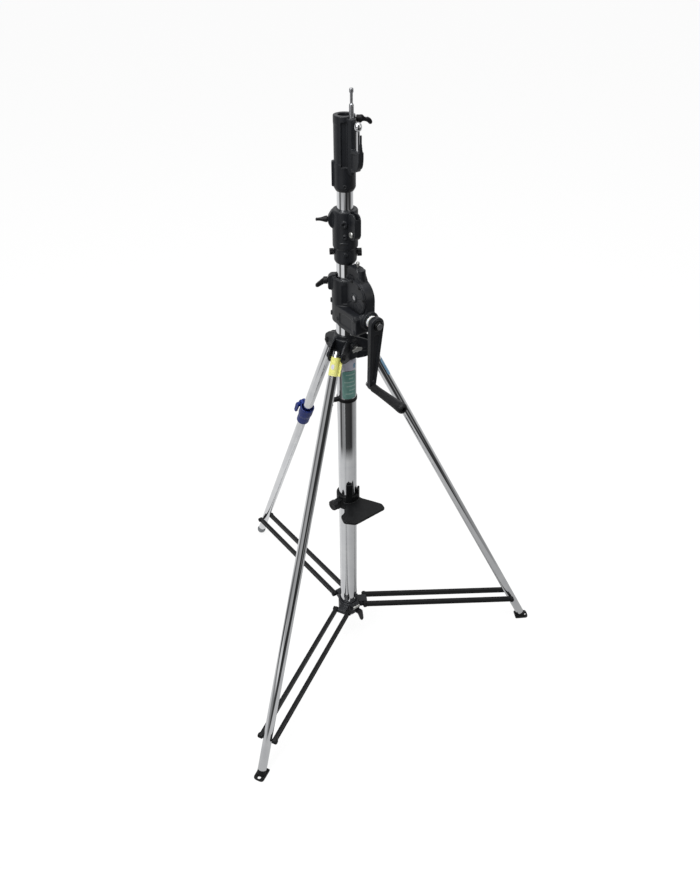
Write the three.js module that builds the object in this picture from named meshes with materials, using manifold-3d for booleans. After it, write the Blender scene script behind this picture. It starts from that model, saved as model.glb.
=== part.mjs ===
// Crank lighting stand: a wind-up tripod stand with a gearbox, two risers and a combination head.
// Millimetres, +Z up. The origin is on the floor, under the middle of the footprint. The three legs
// point to 0, 120 and 240 degrees about the column, and the crank stands at -60 degrees.
import * as THREE from "three";
import { mergeVertices } from "three/addons/utils/BufferGeometryUtils.js";
import Module from "manifold-3d";

const wasm = await Module();
wasm.setup();

// ---------------------------------------------------------------- driving dimensions
const GAP = 0.3; // air between two pieces that touch on the real stand
const FOOT_RADIUS = 580; // column axis to the middle of a foot
const COLUMN_X = -FOOT_RADIUS / 4; // puts the middle of the footprint at the origin
const LEG_TURNS = { right: 0, levelling: 120, front: 240 };
const CRANK_TURN = -60;

const BASE = { r: 25.5, wall: 1.5, low: 92, top: 1192 };
const RISER_1 = { r: 22.25, wall: 1.75, low: 125, top: 1395 };
const RISER_2 = { r: 18.75, wall: 1.7, low: 170, top: 1478 };
const BUSH_LENGTH = 40;

const PIVOT = { radius: 57, height: 1057 }; // leg pivots, on the leg collar
const LEG = { r: 12.5, wall: 1.5, angle: THREE.MathUtils.degToRad(26.3), end: 1158 };
const OUTER_LEG = { r: 14, wall: 1.2, end: 372 }; // upper tube of the levelling leg
const BOLT_R = 4;
const HOLE_R = 4.4;

const BRACE = {
  inner: { radius: 50, z: 130 }, // pivot on the lower collar
  outer: { radius: 528.5, z: 103 }, // pivot on the leg's middle line
  side: 20.5,
  thick: 10,
  r: 7.5,
};

const GEAR_TEETH = 24;
const GEAR_R = 36; // pitch radius of the drive gear
const TOOTH_PITCH = (2 * Math.PI * GEAR_R) / GEAR_TEETH;
const TOOTH_SHARE = 0.36; // of the pitch, so that the meshes run with backlash
const RACK_PITCH_R = 22; // rack pitch line to the column axis
const WORM = { z: 1170, r: 12, root: 10.3, tip: 13.2 };
const GEAR_U = RACK_PITCH_R + GEAR_R;
const GEAR_Z = WORM.z + WORM.r + GEAR_R;

const CRANK = {
  back: 117,
  front: 130,
  length: 166.4,
  lean: THREE.MathUtils.degToRad(4),
  hubR: 19.5,
  endR: 9,
};
const GRIP = { from: 130.6, to: 253 };

// ---------------------------------------------------------------- materials
const finish = (color, roughness, metalness) =>
  new THREE.MeshStandardMaterial({ color, roughness, metalness });
const CHROME = finish(0xd9dadd, 0.12, 1);
const ZINC = finish(0xb4b5b0, 0.4, 1);
const STEEL = finish(0x8d9095, 0.35, 1);
const BRONZE = finish(0xa8843f, 0.4, 1);
const CASTING = finish(0x24272b, 0.5, 0.2);
const BLACK_STEEL = finish(0x1b1c1e, 0.45, 0.3);
const BLACK_PLASTIC = finish(0x17181a, 0.55, 0);
const GREY_RUBBER = finish(0x6d7074, 0.8, 0);
const WHITE_NYLON = finish(0xf1f1ee, 0.5, 0);
const BLUE_PLASTIC = finish(0x1f57b4, 0.4, 0);

// ---------------------------------------------------------------- solids
const toSolid = (geometry) => {
  const bare = geometry.clone();
  ["normal", "uv"].forEach((name) => bare.deleteAttribute(name));
  const merged = mergeVertices(bare, 1e-4);
  return new wasm.Manifold(
    new wasm.Mesh({
      numProp: 3,
      vertProperties: merged.attributes.position.array,
      triVerts: new Uint32Array(merged.index.array),
    }),
  );
};
const toGeometry = (made) => {
  const mesh = made.getMesh();
  return new THREE.BufferGeometry()
    .setAttribute("position", new THREE.BufferAttribute(mesh.vertProperties, 3))
    .setIndex(new THREE.BufferAttribute(mesh.triVerts, 1));
};
const join = (first, ...more) =>
  toGeometry(more.reduce((sum, part) => sum.add(toSolid(part)), toSolid(first)));
const cut = (body, ...tools) =>
  toGeometry(tools.reduce((rest, tool) => rest.subtract(toSolid(tool)), toSolid(body)));

// ---------------------------------------------------------------- shapes
const cone = (r0, r1, z0, z1, sides = 24) =>
  new THREE.CylinderGeometry(r1, r0, z1 - z0, sides)
    .rotateX(Math.PI / 2)
    .translate(0, 0, (z0 + z1) / 2);
const rod = (r, z0, z1, sides = 24) => cone(r, r, z0, z1, sides);
const pipe = (outer, inner, z0, z1, sides = 32) =>
  cut(rod(outer, z0, z1, sides), rod(inner, z0 - 1, z1 + 1, sides));
const block = (x0, x1, y0, y1, z0, z1) =>
  new THREE.BoxGeometry(x1 - x0, y1 - y0, z1 - z0).translate(
    (x0 + x1) / 2,
    (y0 + y1) / 2,
    (z0 + z1) / 2,
  );
const ball = (r, sides = 12) => new THREE.SphereGeometry(r, sides, sides / 2).rotateX(Math.PI / 2);
const at = (geometry, x, y, z) => geometry.translate(x, y, z);
// A rod along X or Y instead of Z, between two places on that axis.
const alongX = (r, x0, x1, y, z, sides = 20) =>
  at(cone(r, r, x0, x1, sides).rotateY(Math.PI / 2), 0, y, z);
const alongY = (r, y0, y1, x, z, sides = 20) =>
  at(cone(r, r, -y1, -y0, sides).rotateX(Math.PI / 2), x, 0, z);
// A body turned about Z from [radius, height] points that start and end on the axis.
const turned = (points, sides = 24) =>
  new THREE.LatheGeometry(
    points.map(([r, z]) => new THREE.Vector2(r, z)),
    sides,
  ).rotateX(Math.PI / 2);
const outline = (points) => new THREE.Shape(points.map(([x, y]) => new THREE.Vector2(x, y)));
// A plate whose outline is drawn in X and Z and which is thick along Y.
const plateXZ = (shape, y0, y1, curveSegments = 10) =>
  new THREE.ExtrudeGeometry(shape, { depth: y1 - y0, bevelEnabled: false, curveSegments })
    .rotateX(Math.PI / 2)
    .translate(0, y1, 0);
// A plate whose outline is drawn in X and Y and which is thick along Z.
const plateXY = (shape, z0, z1, curveSegments = 10) =>
  new THREE.ExtrudeGeometry(shape, { depth: z1 - z0, bevelEnabled: false, curveSegments }).translate(
    0,
    0,
    z0,
  );
// A plate whose outline is drawn in Y and Z and which is thick along X.
const YZ_PLANE = new THREE.Matrix4().set(0, 0, 1, 0, 1, 0, 0, 0, 0, 1, 0, 0, 0, 0, 0, 1);
const plateYZ = (shape, x0, x1, curveSegments = 10) =>
  plateXY(shape, x0, x1, curveSegments).applyMatrix4(YZ_PLANE);
// Turns a finished shape about Z by some degrees.
const turnedGeometry = (geometry, degrees) => geometry.rotateZ(THREE.MathUtils.degToRad(degrees));
// The outline round two circles: a tapered bar with round ends.
const taper = ([x0, y0, r0], [x1, y1, r1], steps = 8) => {
  const way = Math.atan2(y1 - y0, x1 - x0);
  const lean = Math.acos((r0 - r1) / Math.hypot(x1 - x0, y1 - y0));
  const arc = (x, y, r, from, to) =>
    Array.from({ length: steps + 1 }, (_, i) => {
      const a = from + ((to - from) * i) / steps;
      return [x + r * Math.cos(a), y + r * Math.sin(a)];
    });
  return outline([
    ...arc(x1, y1, r1, way - lean, way + lean),
    ...arc(x0, y0, r0, way + lean, way + 2 * Math.PI - lean),
  ]);
};

// ---------------------------------------------------------------- the tree of groups
const stand = new THREE.Group();
const column = new THREE.Group();
column.position.x = COLUMN_X;
stand.add(column);

const turnedGroup = (degrees, parent = column) => {
  const group = new THREE.Group();
  group.rotation.z = THREE.MathUtils.degToRad(degrees);
  parent.add(group);
  return group;
};
const piece = (parent, name, geometry, material) => {
  const mesh = new THREE.Mesh(geometry, material);
  mesh.name = name;
  parent.add(mesh);
};
const crankSide = turnedGroup(CRANK_TURN);

// ---------------------------------------------------------------- column tubes
const RACK = { back: 19.3, root: 20.5, tip: 23.1, half: 4.9, low: 196, top: 1256 };

function columnTubes() {
  piece(column, "base_tube", pipe(BASE.r, BASE.r - BASE.wall, BASE.low, BASE.top), CHROME);
  const bore = BASE.r - BASE.wall - GAP;
  piece(
    column,
    "column_plug",
    join(rod(BASE.r, BASE.low - 4, BASE.low - GAP, 32), rod(bore, BASE.low - 1, BASE.low + 18, 32)),
    BLACK_PLASTIC,
  );
  const slotHalf = RACK.half + 0.4;
  const slot = block(RACK.back - 3, RISER_1.r + 2, -slotHalf, slotHalf, RACK.low - 6, RACK.top + 6);
  const wound = pipe(RISER_1.r, RISER_1.r - RISER_1.wall, RISER_1.low, RISER_1.top);
  piece(crankSide, "riser_1_tube", cut(wound, slot), CHROME);
  const low = RISER_1.low + 2;
  piece(
    column,
    "riser_1_bush",
    pipe(bore, RISER_1.r + GAP, low, low + BUSH_LENGTH),
    WHITE_NYLON,
  );
  piece(
    column,
    "riser_2_tube",
    pipe(RISER_2.r, RISER_2.r - RISER_2.wall, RISER_2.low, RISER_2.top),
    CHROME,
  );
  const innerLow = RISER_2.low + 2;
  const inner = pipe(
    RISER_1.r - RISER_1.wall - GAP,
    RISER_2.r + GAP,
    innerLow,
    innerLow + BUSH_LENGTH,
  );
  const notch = block(15, RISER_1.r, -RACK.half - 1, RACK.half + 1, 0, RISER_2.top);
  piece(crankSide, "riser_2_bush", cut(inner, notch), WHITE_NYLON);
}

// A straight rack up the first riser. A gap between two teeth faces the drive gear's tooth at rest.
function riserRack() {
  const tip = (TOOTH_PITCH * TOOTH_SHARE) / 2 - 0.5;
  const root = tip + 1;
  const points = [
    [RACK.back, RACK.low],
    [RACK.root, RACK.low],
  ];
  const first = Math.ceil((RACK.low + root - GEAR_Z) / TOOTH_PITCH - 0.5);
  for (let i = first; ; i += 1) {
    const middle = GEAR_Z + (i + 0.5) * TOOTH_PITCH;
    if (middle + root > RACK.top) break;
    points.push(
      [RACK.root, middle - root],
      [RACK.tip, middle - tip],
      [RACK.tip, middle + tip],
      [RACK.root, middle + root],
    );
  }
  points.push([RACK.root, RACK.top], [RACK.back, RACK.top]);
  piece(crankSide, "riser_1_rack", plateXZ(outline(points), -RACK.half, RACK.half), STEEL);
}

// ---------------------------------------------------------------- gearbox
function wormThread() {
  const turns = 3.5;
  const steps = 14;
  const start = GEAR_U - (turns / 2) * TOOTH_PITCH;
  const tip = (TOOTH_PITCH * TOOTH_SHARE) / 2 - 0.5;
  const section = [
    [WORM.root - 1, -tip - 1.2],
    [WORM.tip, -tip],
    [WORM.tip, tip],
    [WORM.root - 1, tip + 1.2],
  ];
  const vertices = [];
  const faces = [];
  for (let i = 0; i <= turns * steps; i += 1) {
    const along = i / steps;
    // a left-hand thread, so that winding clockwise lifts; at its middle a gap faces the gear above
    const turn = -Math.PI / 2 - 2 * Math.PI * (along - turns / 2);
    for (const [r, offset] of section)
      vertices.push(start + along * TOOTH_PITCH + offset, r * Math.cos(turn), r * Math.sin(turn));
    if (!i) continue;
    const now = i * 4;
    const before = now - 4;
    for (let k = 0; k < 4; k += 1) {
      const next = (k + 1) % 4;
      faces.push(before + k, now + k, now + next, before + k, now + next, before + next);
    }
  }
  const last = vertices.length / 3 - 4;
  faces.push(0, 1, 2, 0, 2, 3, last, last + 2, last + 1, last, last + 3, last + 2);
  const geometry = new THREE.BufferGeometry()
    .setAttribute("position", new THREE.BufferAttribute(new Float32Array(vertices), 3))
    .setIndex(faces);
  const facing = toSolid(geometry).volume() > 0;
  if (!facing) geometry.setIndex(faces.map((_, i) => faces[i - (i % 3) + 2 - (i % 3)]));
  return at(geometry, 0, 0, WORM.z);
}

function driveGear() {
  const half = (2 * Math.PI * TOOTH_SHARE) / GEAR_TEETH / 2;
  const root = GEAR_R - 1.6;
  const tip = GEAR_R + 1.2;
  const points = [];
  for (let i = 0; i < GEAR_TEETH; i += 1) {
    const middle = (2 * Math.PI * i) / GEAR_TEETH;
    for (const [r, a] of [
      [root, middle - half * 1.35],
      [tip, middle - half * 0.7],
      [tip, middle + half * 0.7],
      [root, middle + half * 1.35],
    ])
      points.push([GEAR_U + r * Math.cos(a), GEAR_Z + r * Math.sin(a)]);
  }
  const teeth = plateXZ(outline(points), -4, 4);
  const hub = alongY(13, -8, 8, GEAR_U, GEAR_Z, 20);
  return cut(join(teeth, hub), alongY(6.4, -20, 20, GEAR_U, GEAR_Z, 20));
}

function gearbox() {
  const caseR = 43.5;
  const half = 13;
  const coverCut = block(0, 200, -60, 60, 0, 1186);
  const wormBlock = plateXZ(
    outline([
      [2, 1140],
      [18, 1131],
      [86, 1131],
      [91, 1138],
      [91, 1176],
      [84, 1184],
      [2, 1184],
    ]),
    -35,
    22,
  );
  const upper = cut(plateXZ(
    outline([
      [8, 1230],
      [76, 1230],
      [76, 1260],
      [64, 1282],
      [58, 1288],
      [8, 1288],
    ]),
    -11,
    11,
  ), rod(29, 1281, 1300, 24));
  const ear = turnedGeometry(block(-43, -20, -9, 9, 1216, 1256), 55);
  const body = join(
    rod(34.5, 1133, 1250, 28),
    wormBlock,
    alongY(caseR, -half, half, GEAR_U, GEAR_Z, 28),
    block(10, GEAR_U + caseR, -half, half, 1160, GEAR_Z),
    upper,
    at(rod(9, 1240, 1288, 16), 66, 0, 0),
    alongX(23, 85, 104, 0, WORM.z, 20),
    ear,
  );
  const housing = cut(
    body,
    rod(BASE.r + GAP, 1100, BASE.top + GAP, 32),
    rod(BASE.r - BASE.wall + 0.2, 1190, 1300, 32),
    alongY(39, -half - 1, 9, GEAR_U, GEAR_Z, 24),
    alongX(WORM.tip + 1, 29, 84, 0, WORM.z, 16),
    alongX(8.4, 80, 120, 0, WORM.z, 20),
    alongY(6.3, 0, 20, GEAR_U, GEAR_Z, 16),
    turnedGeometry(alongX(HOLE_R, -60, -25, 0, 1238, 12), 55),
  );
  piece(crankSide, "gear_housing", housing, CASTING);
  const cover = join(
    alongY(caseR, -17, -half - GAP, GEAR_U, GEAR_Z, 28),
    alongY(11, -19.5, -16, GEAR_U, GEAR_Z, 16),
  );
  piece(
    crankSide,
    "gear_cover",
    cut(
      cover,
      coverCut,
      alongY(6.3, -18, -10, GEAR_U, GEAR_Z, 16),
      rod(34.8, 1100, 1300, 32),
      alongX(23.4, 80, 110, 0, WORM.z, 24),
    ),
    CASTING,
  );
  piece(crankSide, "gear_axle", alongY(6, -17.6, 12.6, GEAR_U, GEAR_Z, 16), STEEL);
  piece(crankSide, "drive_gear", driveGear(), BRONZE);
  const shaft = join(
    alongX(WORM.root, 31, 82, 0, WORM.z, 20),
    alongX(8, 80, 139, 0, WORM.z, 20),
    wormThread(),
  );
  piece(crankSide, "worm_shaft", shaft, STEEL);
  const pin = join(rod(3, 1288 + GAP, 1296, 12), rod(4.5, 1295, 1301, 12));
  piece(crankSide, "gearbox_pin", at(pin, 50, 0, 0), ZINC);
  const lever = join(
    alongX(BOLT_R, -46, -27, 0, 1238, 12),
    alongX(9, -54, -43.4, 0, 1238, 16),
    plateXZ(taper([-51, 1238, 6.5], [-82, 1212, 4.5]), -4, 4),
  );
  piece(crankSide, "gearbox_lock_lever", turnedGeometry(lever, 55), BLACK_PLASTIC);
}

// ---------------------------------------------------------------- crank
function crank() {
  const endY = -Math.sin(CRANK.lean) * CRANK.length;
  const endZ = WORM.z - Math.cos(CRANK.lean) * CRANK.length;
  const shaftHole = () => alongX(8.4, 100, 140, 0, WORM.z, 20);
  const arm = join(
    plateYZ(taper([0, WORM.z, CRANK.hubR], [endY, endZ, CRANK.endR]), CRANK.back, CRANK.front),
    alongX(13, 110, CRANK.back + 1, 0, WORM.z, 20),
    alongX(7, CRANK.back - 6, CRANK.back + 1, endY, endZ, 16),
  );
  piece(
    crankSide,
    "crank_arm",
    cut(arm, shaftHole(), alongX(HOLE_R, 100, 140, endY, endZ, 12)),
    CASTING,
  );
  const washer = alongX(13.5, 104.4, 109.6, 0, WORM.z, 24);
  piece(crankSide, "crank_washer", cut(washer, shaftHole()), WHITE_NYLON);
  const nut = alongX(12, CRANK.front + GAP, 137, 0, WORM.z, 6);
  piece(crankSide, "crank_nut", cut(nut, shaftHole()), ZINC);
  const length = GRIP.to - GRIP.from;
  const body = turned([
    [0, 0],
    [9, 0],
    [10.5, 3],
    [10, 22],
    [12, length * 0.75],
    [13.5, length - 12],
    [13, length - 5],
    [9, length],
    [0, length],
  ]);
  const grip = at(body.rotateY(Math.PI / 2), GRIP.from, endY, endZ);
  const bore = alongX(HOLE_R, GRIP.from - 1, GRIP.to - 14, endY, endZ, 12);
  piece(crankSide, "crank_grip", cut(grip, bore), BLACK_PLASTIC);
  const pin = join(
    alongX(BOLT_R, CRANK.back - 8, GRIP.to - 16, endY, endZ, 12),
    alongX(6.5, CRANK.back - 10, CRANK.back - 6 - GAP, endY, endZ, 12),
  );
  piece(crankSide, "grip_pin", pin, STEEL);
}

// ---------------------------------------------------------------- riser collar, at the top of riser 1
const KNOB_FACE = 27.5; // the collar's flat, where its two screws sit

function riserCollar() {
  const pulley = { u: 37, z: 1364, r: 12 };
  const sleeve = turned(
    [
      [0, 1284],
      [22, 1284],
      [27, 1291],
      [27.5, 1322],
      [30, 1326],
      [30, 1411],
      [28.5, 1414],
      [0, 1414],
    ],
    32,
  );
  const cheekShape = taper([pulley.u, 1398, 14], [pulley.u, pulley.z, 14]);
  const ear = turnedGeometry(
    plateXZ(outline([[-40, 1380], [-40, 1400], [-34, 1414], [-20, 1414], [-20, 1370], [-32, 1370]]), -8, 8),
    60,
  );
  const lock = turnedGeometry(alongX(HOLE_R, -60, -24, 0, 1391, 12), 60);
  const rightScrew = turnedGeometry(alongX(HOLE_R, 22, 40, 0, 1308, 12), 60);
  const leftScrew = turnedGeometry(alongX(HOLE_R, -40, -22, 0, 1312, 12), 60);
  const slot = cut(
    plateXZ(taper([pulley.u, 1440, 12.8], [pulley.u, pulley.z, 12.8]), -4.6, 4.6),
    rod(24.3, 1300, 1460, 24),
  );
  piece(
    crankSide,
    "riser_collar",
    cut(
      join(sleeve, plateXZ(cheekShape, -9, 9), ear),
      rod(RISER_1.r + GAP, 1280, RISER_1.top + GAP, 32),
      rod(RISER_2.r + 0.4, 1380, 1420, 32),
      slot,
      alongY(3.4, -12, 12, pulley.u, pulley.z, 12),
      lock,
      rightScrew,
      leftScrew,
    ),
    CASTING,
  );
  piece(
    crankSide,
    "cable_pulley",
    cut(
      join(
        alongY(pulley.r, -4, -2.4, pulley.u, pulley.z, 20),
        alongY(pulley.r - 2, -2.6, 2.6, pulley.u, pulley.z, 20),
        alongY(pulley.r, 2.4, 4, pulley.u, pulley.z, 20),
      ),
      alongY(3.3, -12, 12, pulley.u, pulley.z, 12),
    ),
    WHITE_NYLON,
  );
  piece(
    crankSide,
    "pulley_screw",
    join(alongY(2.9, -10, 9, pulley.u, pulley.z, 12), alongY(7.5, -12.5, -9.3, pulley.u, pulley.z, 16)),
    ZINC,
  );
  const lever = join(
    alongX(BOLT_R, -44, -26, 0, 1391, 12),
    turned([
      [0, 40.4],
      [8, 40.4],
      [8, 47],
      [4.6, 60],
      [3.4, 71],
      [0, 72.5],
    ])
      .rotateY(-Math.PI / 2)
      .translate(0, 0, 1391),
  );
  piece(crankSide, "riser_collar_lock", turnedGeometry(lever, 60), BLACK_PLASTIC);
  const knob = (z, r, length, degrees) =>
    turnedGeometry(
      join(
        alongX(BOLT_R, KNOB_FACE - 3, KNOB_FACE + 2, 0, z, 12),
        alongX(r, KNOB_FACE + GAP, KNOB_FACE + length, 0, z, 16),
      ),
      degrees,
    );
  piece(crankSide, "riser_collar_knob", knob(1308, 10, 10.5, 60), BLACK_PLASTIC);
  piece(crankSide, "riser_collar_screw", knob(1312, 8, 10, 240), BLACK_PLASTIC);
}

// ---------------------------------------------------------------- head
function head() {
  const low = 1456;
  const top = 1619;
  const spigotU = 25;
  const sleeve = turned(
    [
      [0, low],
      [20.5, low],
      [25, low + 8],
      [25, low + 60],
      [24, low + 64],
      [24, top - 18],
      [24.6, top - 17],
      [24.6, top - 1],
      [23.8, top],
      [0, top],
    ],
    32,
  );
  const boss = join(
    at(cone(6, 10, 1496, 1510, 20), spigotU + 2, 0, 0),
    at(rod(10, 1508, top - 4, 20), spigotU + 2, 0, 0),
  );
  const hook = plateXZ(
    outline([
      [28, 1502],
      [50, 1508],
      [60, 1520],
      [62.5, 1534],
      [62.5, 1588],
      [58.5, 1588],
      [58.5, 1553],
      [28, 1553],
    ]),
    -7,
    7,
  );
  const rib = turnedGeometry(block(-29.5, -20, -6, 6, 1466, 1522), 55);
  piece(
    crankSide,
    "head_casting",
    cut(
      join(sleeve, boss, hook, rib),
      rod(RISER_2.r + GAP, low - 1, RISER_2.top + GAP, 32),
      rod(14.3, RISER_2.top + 8, top + 1, 32),
      rod(8, RISER_2.top - 1, RISER_2.top + 10, 16),
      at(rod(5.6, 1585, top + 1, 16), spigotU + 2, 0, 0),
      at(rod(4.4, 1520, 1560, 12), 51, 0, 0),
      turnedGeometry(alongX(HOLE_R, 10, 40, 0, 1608, 12), 65),
    ),
    CASTING,
  );
  const stud = turned(
    [
      [0, 1587],
      [5.2, 1587],
      [5.2, 1641],
      [4.8, 1644],
      [3.1, 1646],
      [3.1, 1666],
      [4.6, 1668],
      [4.6, 1674],
      [3.6, 1676],
      [0, 1676],
    ],
    20,
  );
  piece(crankSide, "head_spigot", at(stud, spigotU + 2, 0, 0), STEEL);
  const pin = turned(
    [
      [0, 1524],
      [4, 1524],
      [4, 1594],
      [8.5, 1600],
      [9, 1604],
      [6.5, 1610],
      [0, 1612.5],
    ],
    20,
  );
  piece(crankSide, "safety_pin", at(pin, 51, 0, 0), CHROME);
  const wing = join(
    alongX(BOLT_R, 16.5, 30, 0, 1608, 12),
    cone(9, 8, 27, 38, 16).rotateY(Math.PI / 2).translate(0, 0, 1608),
    plateXZ(
      outline([
        [34, 1601],
        [42, 1602],
        [50, 1597],
        [58, 1594],
        [61, 1599],
        [56, 1606],
        [46, 1612],
        [38, 1616],
        [34, 1615],
      ]),
      -5,
      5,
    ),
  );
  piece(crankSide, "head_wing_screw", turnedGeometry(wing, 65), BLACK_PLASTIC);
}

// ---------------------------------------------------------------- leg collar and legs
const CLEVIS = { inside: 15.2, outside: 20.4 };

const WINGS = [
  [0, -5],
  [7, -6],
  [17, -8],
  [19, 2],
  [8, 6],
  [0, 5],
  [-8, 6],
  [-19, 2],
  [-17, -8],
  [-7, -6],
];

function wingBolt(parent, name, radius, z, material, size) {
  const wings = outline(WINGS.map(([y, high]) => [y * size, z + high * size]));
  const bolt = join(
    alongX(BOLT_R, radius - 6, radius + 2, 0, z, 12),
    alongX(8.5 * size, radius + GAP, radius + 14 * size, 0, z, 16),
    plateYZ(wings, radius + 9 * size, radius + 14 * size),
  );
  piece(parent, name, bolt, material);
}

function legCollar() {
  const z = PIVOT.height;
  const cheeks = Object.values(LEG_TURNS).flatMap((turn) =>
    [-1, 1].map((side) => {
      const near = side > 0 ? CLEVIS.inside : -CLEVIS.outside;
      const shape = outline([
        [26.5, z - 26],
        [48, z - 22],
        [66, z - 14],
        [69, z],
        [64, z + 12],
        [46, z + 24],
        [26.5, z + 34],
      ]);
      const cheek = plateXZ(shape, near, near + CLEVIS.outside - CLEVIS.inside);
      const hole = alongY(HOLE_R, -30, 30, PIVOT.radius, z, 12);
      return turnedGeometry(cut(cheek, hole), turn - CRANK_TURN);
    }),
  );
  const ring = join(
    rod(33, z - 28, z + 30, 28),
    rod(30, z + 29, z + 42, 28),
    ...cheeks,
    alongX(11, 20, 38, 0, z + 12, 16),
  );
  piece(
    crankSide,
    "leg_collar",
    cut(ring, rod(BASE.r + GAP, 1000, 1130, 28), alongX(HOLE_R, 20, 50, 0, z + 12, 12)),
    CASTING,
  );
  wingBolt(crankSide, "leg_collar_wing_bolt", 38, z + 12, ZINC, 0.8);
}

const legGroup = (turn) => {
  const side = turnedGroup(turn);
  const group = new THREE.Group();
  group.position.set(PIVOT.radius, 0, PIVOT.height);
  group.rotation.y = -LEG.angle;
  side.add(group);
  return { side, group };
};

function pivotBolt(side, name) {
  piece(
    side,
    name,
    join(
      alongY(BOLT_R, -CLEVIS.outside - 2, CLEVIS.outside + 2, PIVOT.radius, PIVOT.height, 12),
      alongY(7, -CLEVIS.outside - 5, -CLEVIS.outside - GAP, PIVOT.radius, PIVOT.height, 6),
      alongY(7, CLEVIS.outside + GAP, CLEVIS.outside + 5, PIVOT.radius, PIVOT.height, 16),
    ),
    BLACK_STEEL,
  );
}

function plainLeg(name) {
  const { side, group } = legGroup(LEG_TURNS[name]);
  const tube = cut(pipe(LEG.r, LEG.r - LEG.wall, -LEG.end, 12, 24), alongY(HOLE_R, -20, 20, 0, 0, 12));
  piece(group, name + "_leg_tube", tube, CHROME);
  pivotBolt(side, name + "_leg_bolt");
  // the foot: a plate flat on the floor, with a plug up into the tube
  const plug = rod(LEG.r - LEG.wall - GAP, -LEG.end - 18, -LEG.end + 30, 20)
    .rotateY(-LEG.angle)
    .translate(PIVOT.radius, 0, PIVOT.height);
  const tip = LEG.end + 8;
  const footX = PIVOT.radius + Math.sin(LEG.angle) * tip;
  const plate = block(footX - 18, footX + 24, -15.5, 15.5, 0, 5);
  const aboveFloor = cut(plug, block(400, 700, -50, 50, -50, 1));
  const hole = at(rod(5, -1, 6, 16), footX + 15, 0, 0);
  piece(side, name + "_foot", cut(join(plate, aboveFloor), hole), BLACK_STEEL);
}

function levellingLeg() {
  const { side, group } = legGroup(LEG_TURNS.levelling);
  const hole = alongY(HOLE_R, -20, 20, 0, 0, 12);
  piece(
    group,
    "levelling_outer_tube",
    cut(pipe(OUTER_LEG.r, OUTER_LEG.r - OUTER_LEG.wall, -OUTER_LEG.end, 12, 24), hole),
    CHROME,
  );
  const innerEnd = 1142;
  piece(group, "levelling_inner_tube", pipe(LEG.r, LEG.r - LEG.wall, -innerEnd, -20, 24), CHROME);
  pivotBolt(side, "levelling_leg_bolt");
  const footR = 15;
  const along = (PIVOT.height - footR) / Math.cos(LEG.angle);
  piece(
    group,
    "levelling_foot",
    join(
      at(ball(footR, 16), 0, 0, -along),
      rod(LEG.r - LEG.wall - GAP, -innerEnd + GAP, -innerEnd + 30, 20),
      rod(9, -along, -innerEnd + 4, 16),
    ),
    GREY_RUBBER,
  );
  levellingClamp(group);
}

// The clamp grips the outer tube above and the inner tube below, with a split on its outer side.
function levellingClamp(group) {
  const top = -326;
  const low = -396;
  const hinge = { x: 26, z: top - 15 };
  const body = join(rod(20.5, low, top, 24), block(12, 33, -8, 8, top - 26, top));
  piece(
    group,
    "levelling_clamp",
    cut(
      body,
      rod(OUTER_LEG.r + GAP, -OUTER_LEG.end - GAP, top + 1, 24),
      rod(LEG.r + GAP, low - 1, -OUTER_LEG.end, 24),
      block(10, 40, -1.5, 1.5, low - 1, top + 1),
      alongY(HOLE_R, -20, 20, hinge.x, hinge.z, 12),
    ),
    BLUE_PLASTIC,
  );
  const lever = join(
    alongY(BOLT_R, -11, 15, hinge.x, hinge.z, 12),
    alongY(6.5, 8.4, 16, hinge.x, hinge.z, 16),
    alongY(6.5, -13, -8.4, hinge.x, hinge.z, 6),
    plateXZ(taper([hinge.x, hinge.z, 6.5], [hinge.x, hinge.z - 30, 5]), 12, 18),
  );
  piece(group, "levelling_clamp_lever", lever, BLUE_PLASTIC);
}

// ---------------------------------------------------------------- lower collar and braces
const LOWER = {
  low: 100,
  top: 142,
  r: 33,
  lugHalf: 14,
  lockTurn: 15, // from the crank side
  lockZ: 108,
  lockFace: 38,
  pin: { radius: 38.6, z: 134, r: 5.5, half: 12 },
};

function lowerCollar() {
  const z = BRACE.inner.z;
  const lugs = Object.values(LEG_TURNS).map((turn) => {
    const lug = join(
      block(24, BRACE.inner.radius, -LOWER.lugHalf, LOWER.lugHalf, z - 16, z + 8),
      alongY(8, -LOWER.lugHalf, LOWER.lugHalf, BRACE.inner.radius, z, 16),
    );
    const hole = alongY(HOLE_R, -30, 30, BRACE.inner.radius, z, 12);
    return turnedGeometry(cut(lug, hole), turn - CRANK_TURN);
  });
  // a zinc clamp pin lies across the crank side, snapped into a pocket with a cheek at each end
  const { pin } = LOWER;
  const cheek = pin.half + 3;
  const saddle = block(28, pin.radius + 1.5, -cheek, cheek, pin.z - 12, LOWER.top);
  const lockTurned = (shape) => turnedGeometry(shape, LOWER.lockTurn);
  const ring = join(
    rod(LOWER.r, LOWER.low, LOWER.top, 32),
    ...lugs,
    saddle,
    lockTurned(alongX(9.5, 24, LOWER.lockFace, 0, LOWER.lockZ, 16)),
  );
  const bored = cut(
    ring,
    rod(BASE.r + 0.5, 0, 300, 32),
    alongY(pin.r + GAP, -pin.half - GAP, pin.half + GAP, pin.radius, pin.z, 16),
    lockTurned(alongX(HOLE_R, 20, 50, 0, LOWER.lockZ, 12)),
  );
  piece(crankSide, "lower_collar", bored, CASTING);
  piece(
    crankSide,
    "lower_collar_pin",
    alongY(pin.r, -pin.half, pin.half, pin.radius, pin.z, 16),
    ZINC,
  );
  const lever = join(
    alongX(BOLT_R, LOWER.lockFace - 6, LOWER.lockFace + 2, 0, LOWER.lockZ, 12),
    alongX(9, LOWER.lockFace + GAP, LOWER.lockFace + 12, 0, LOWER.lockZ, 16),
    plateYZ(taper([0, LOWER.lockZ, 9], [9, LOWER.lockZ - 38, 5.5]), 43, 50),
  );
  piece(crankSide, "lower_collar_lock", lockTurned(lever), BLACK_PLASTIC);
}

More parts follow.
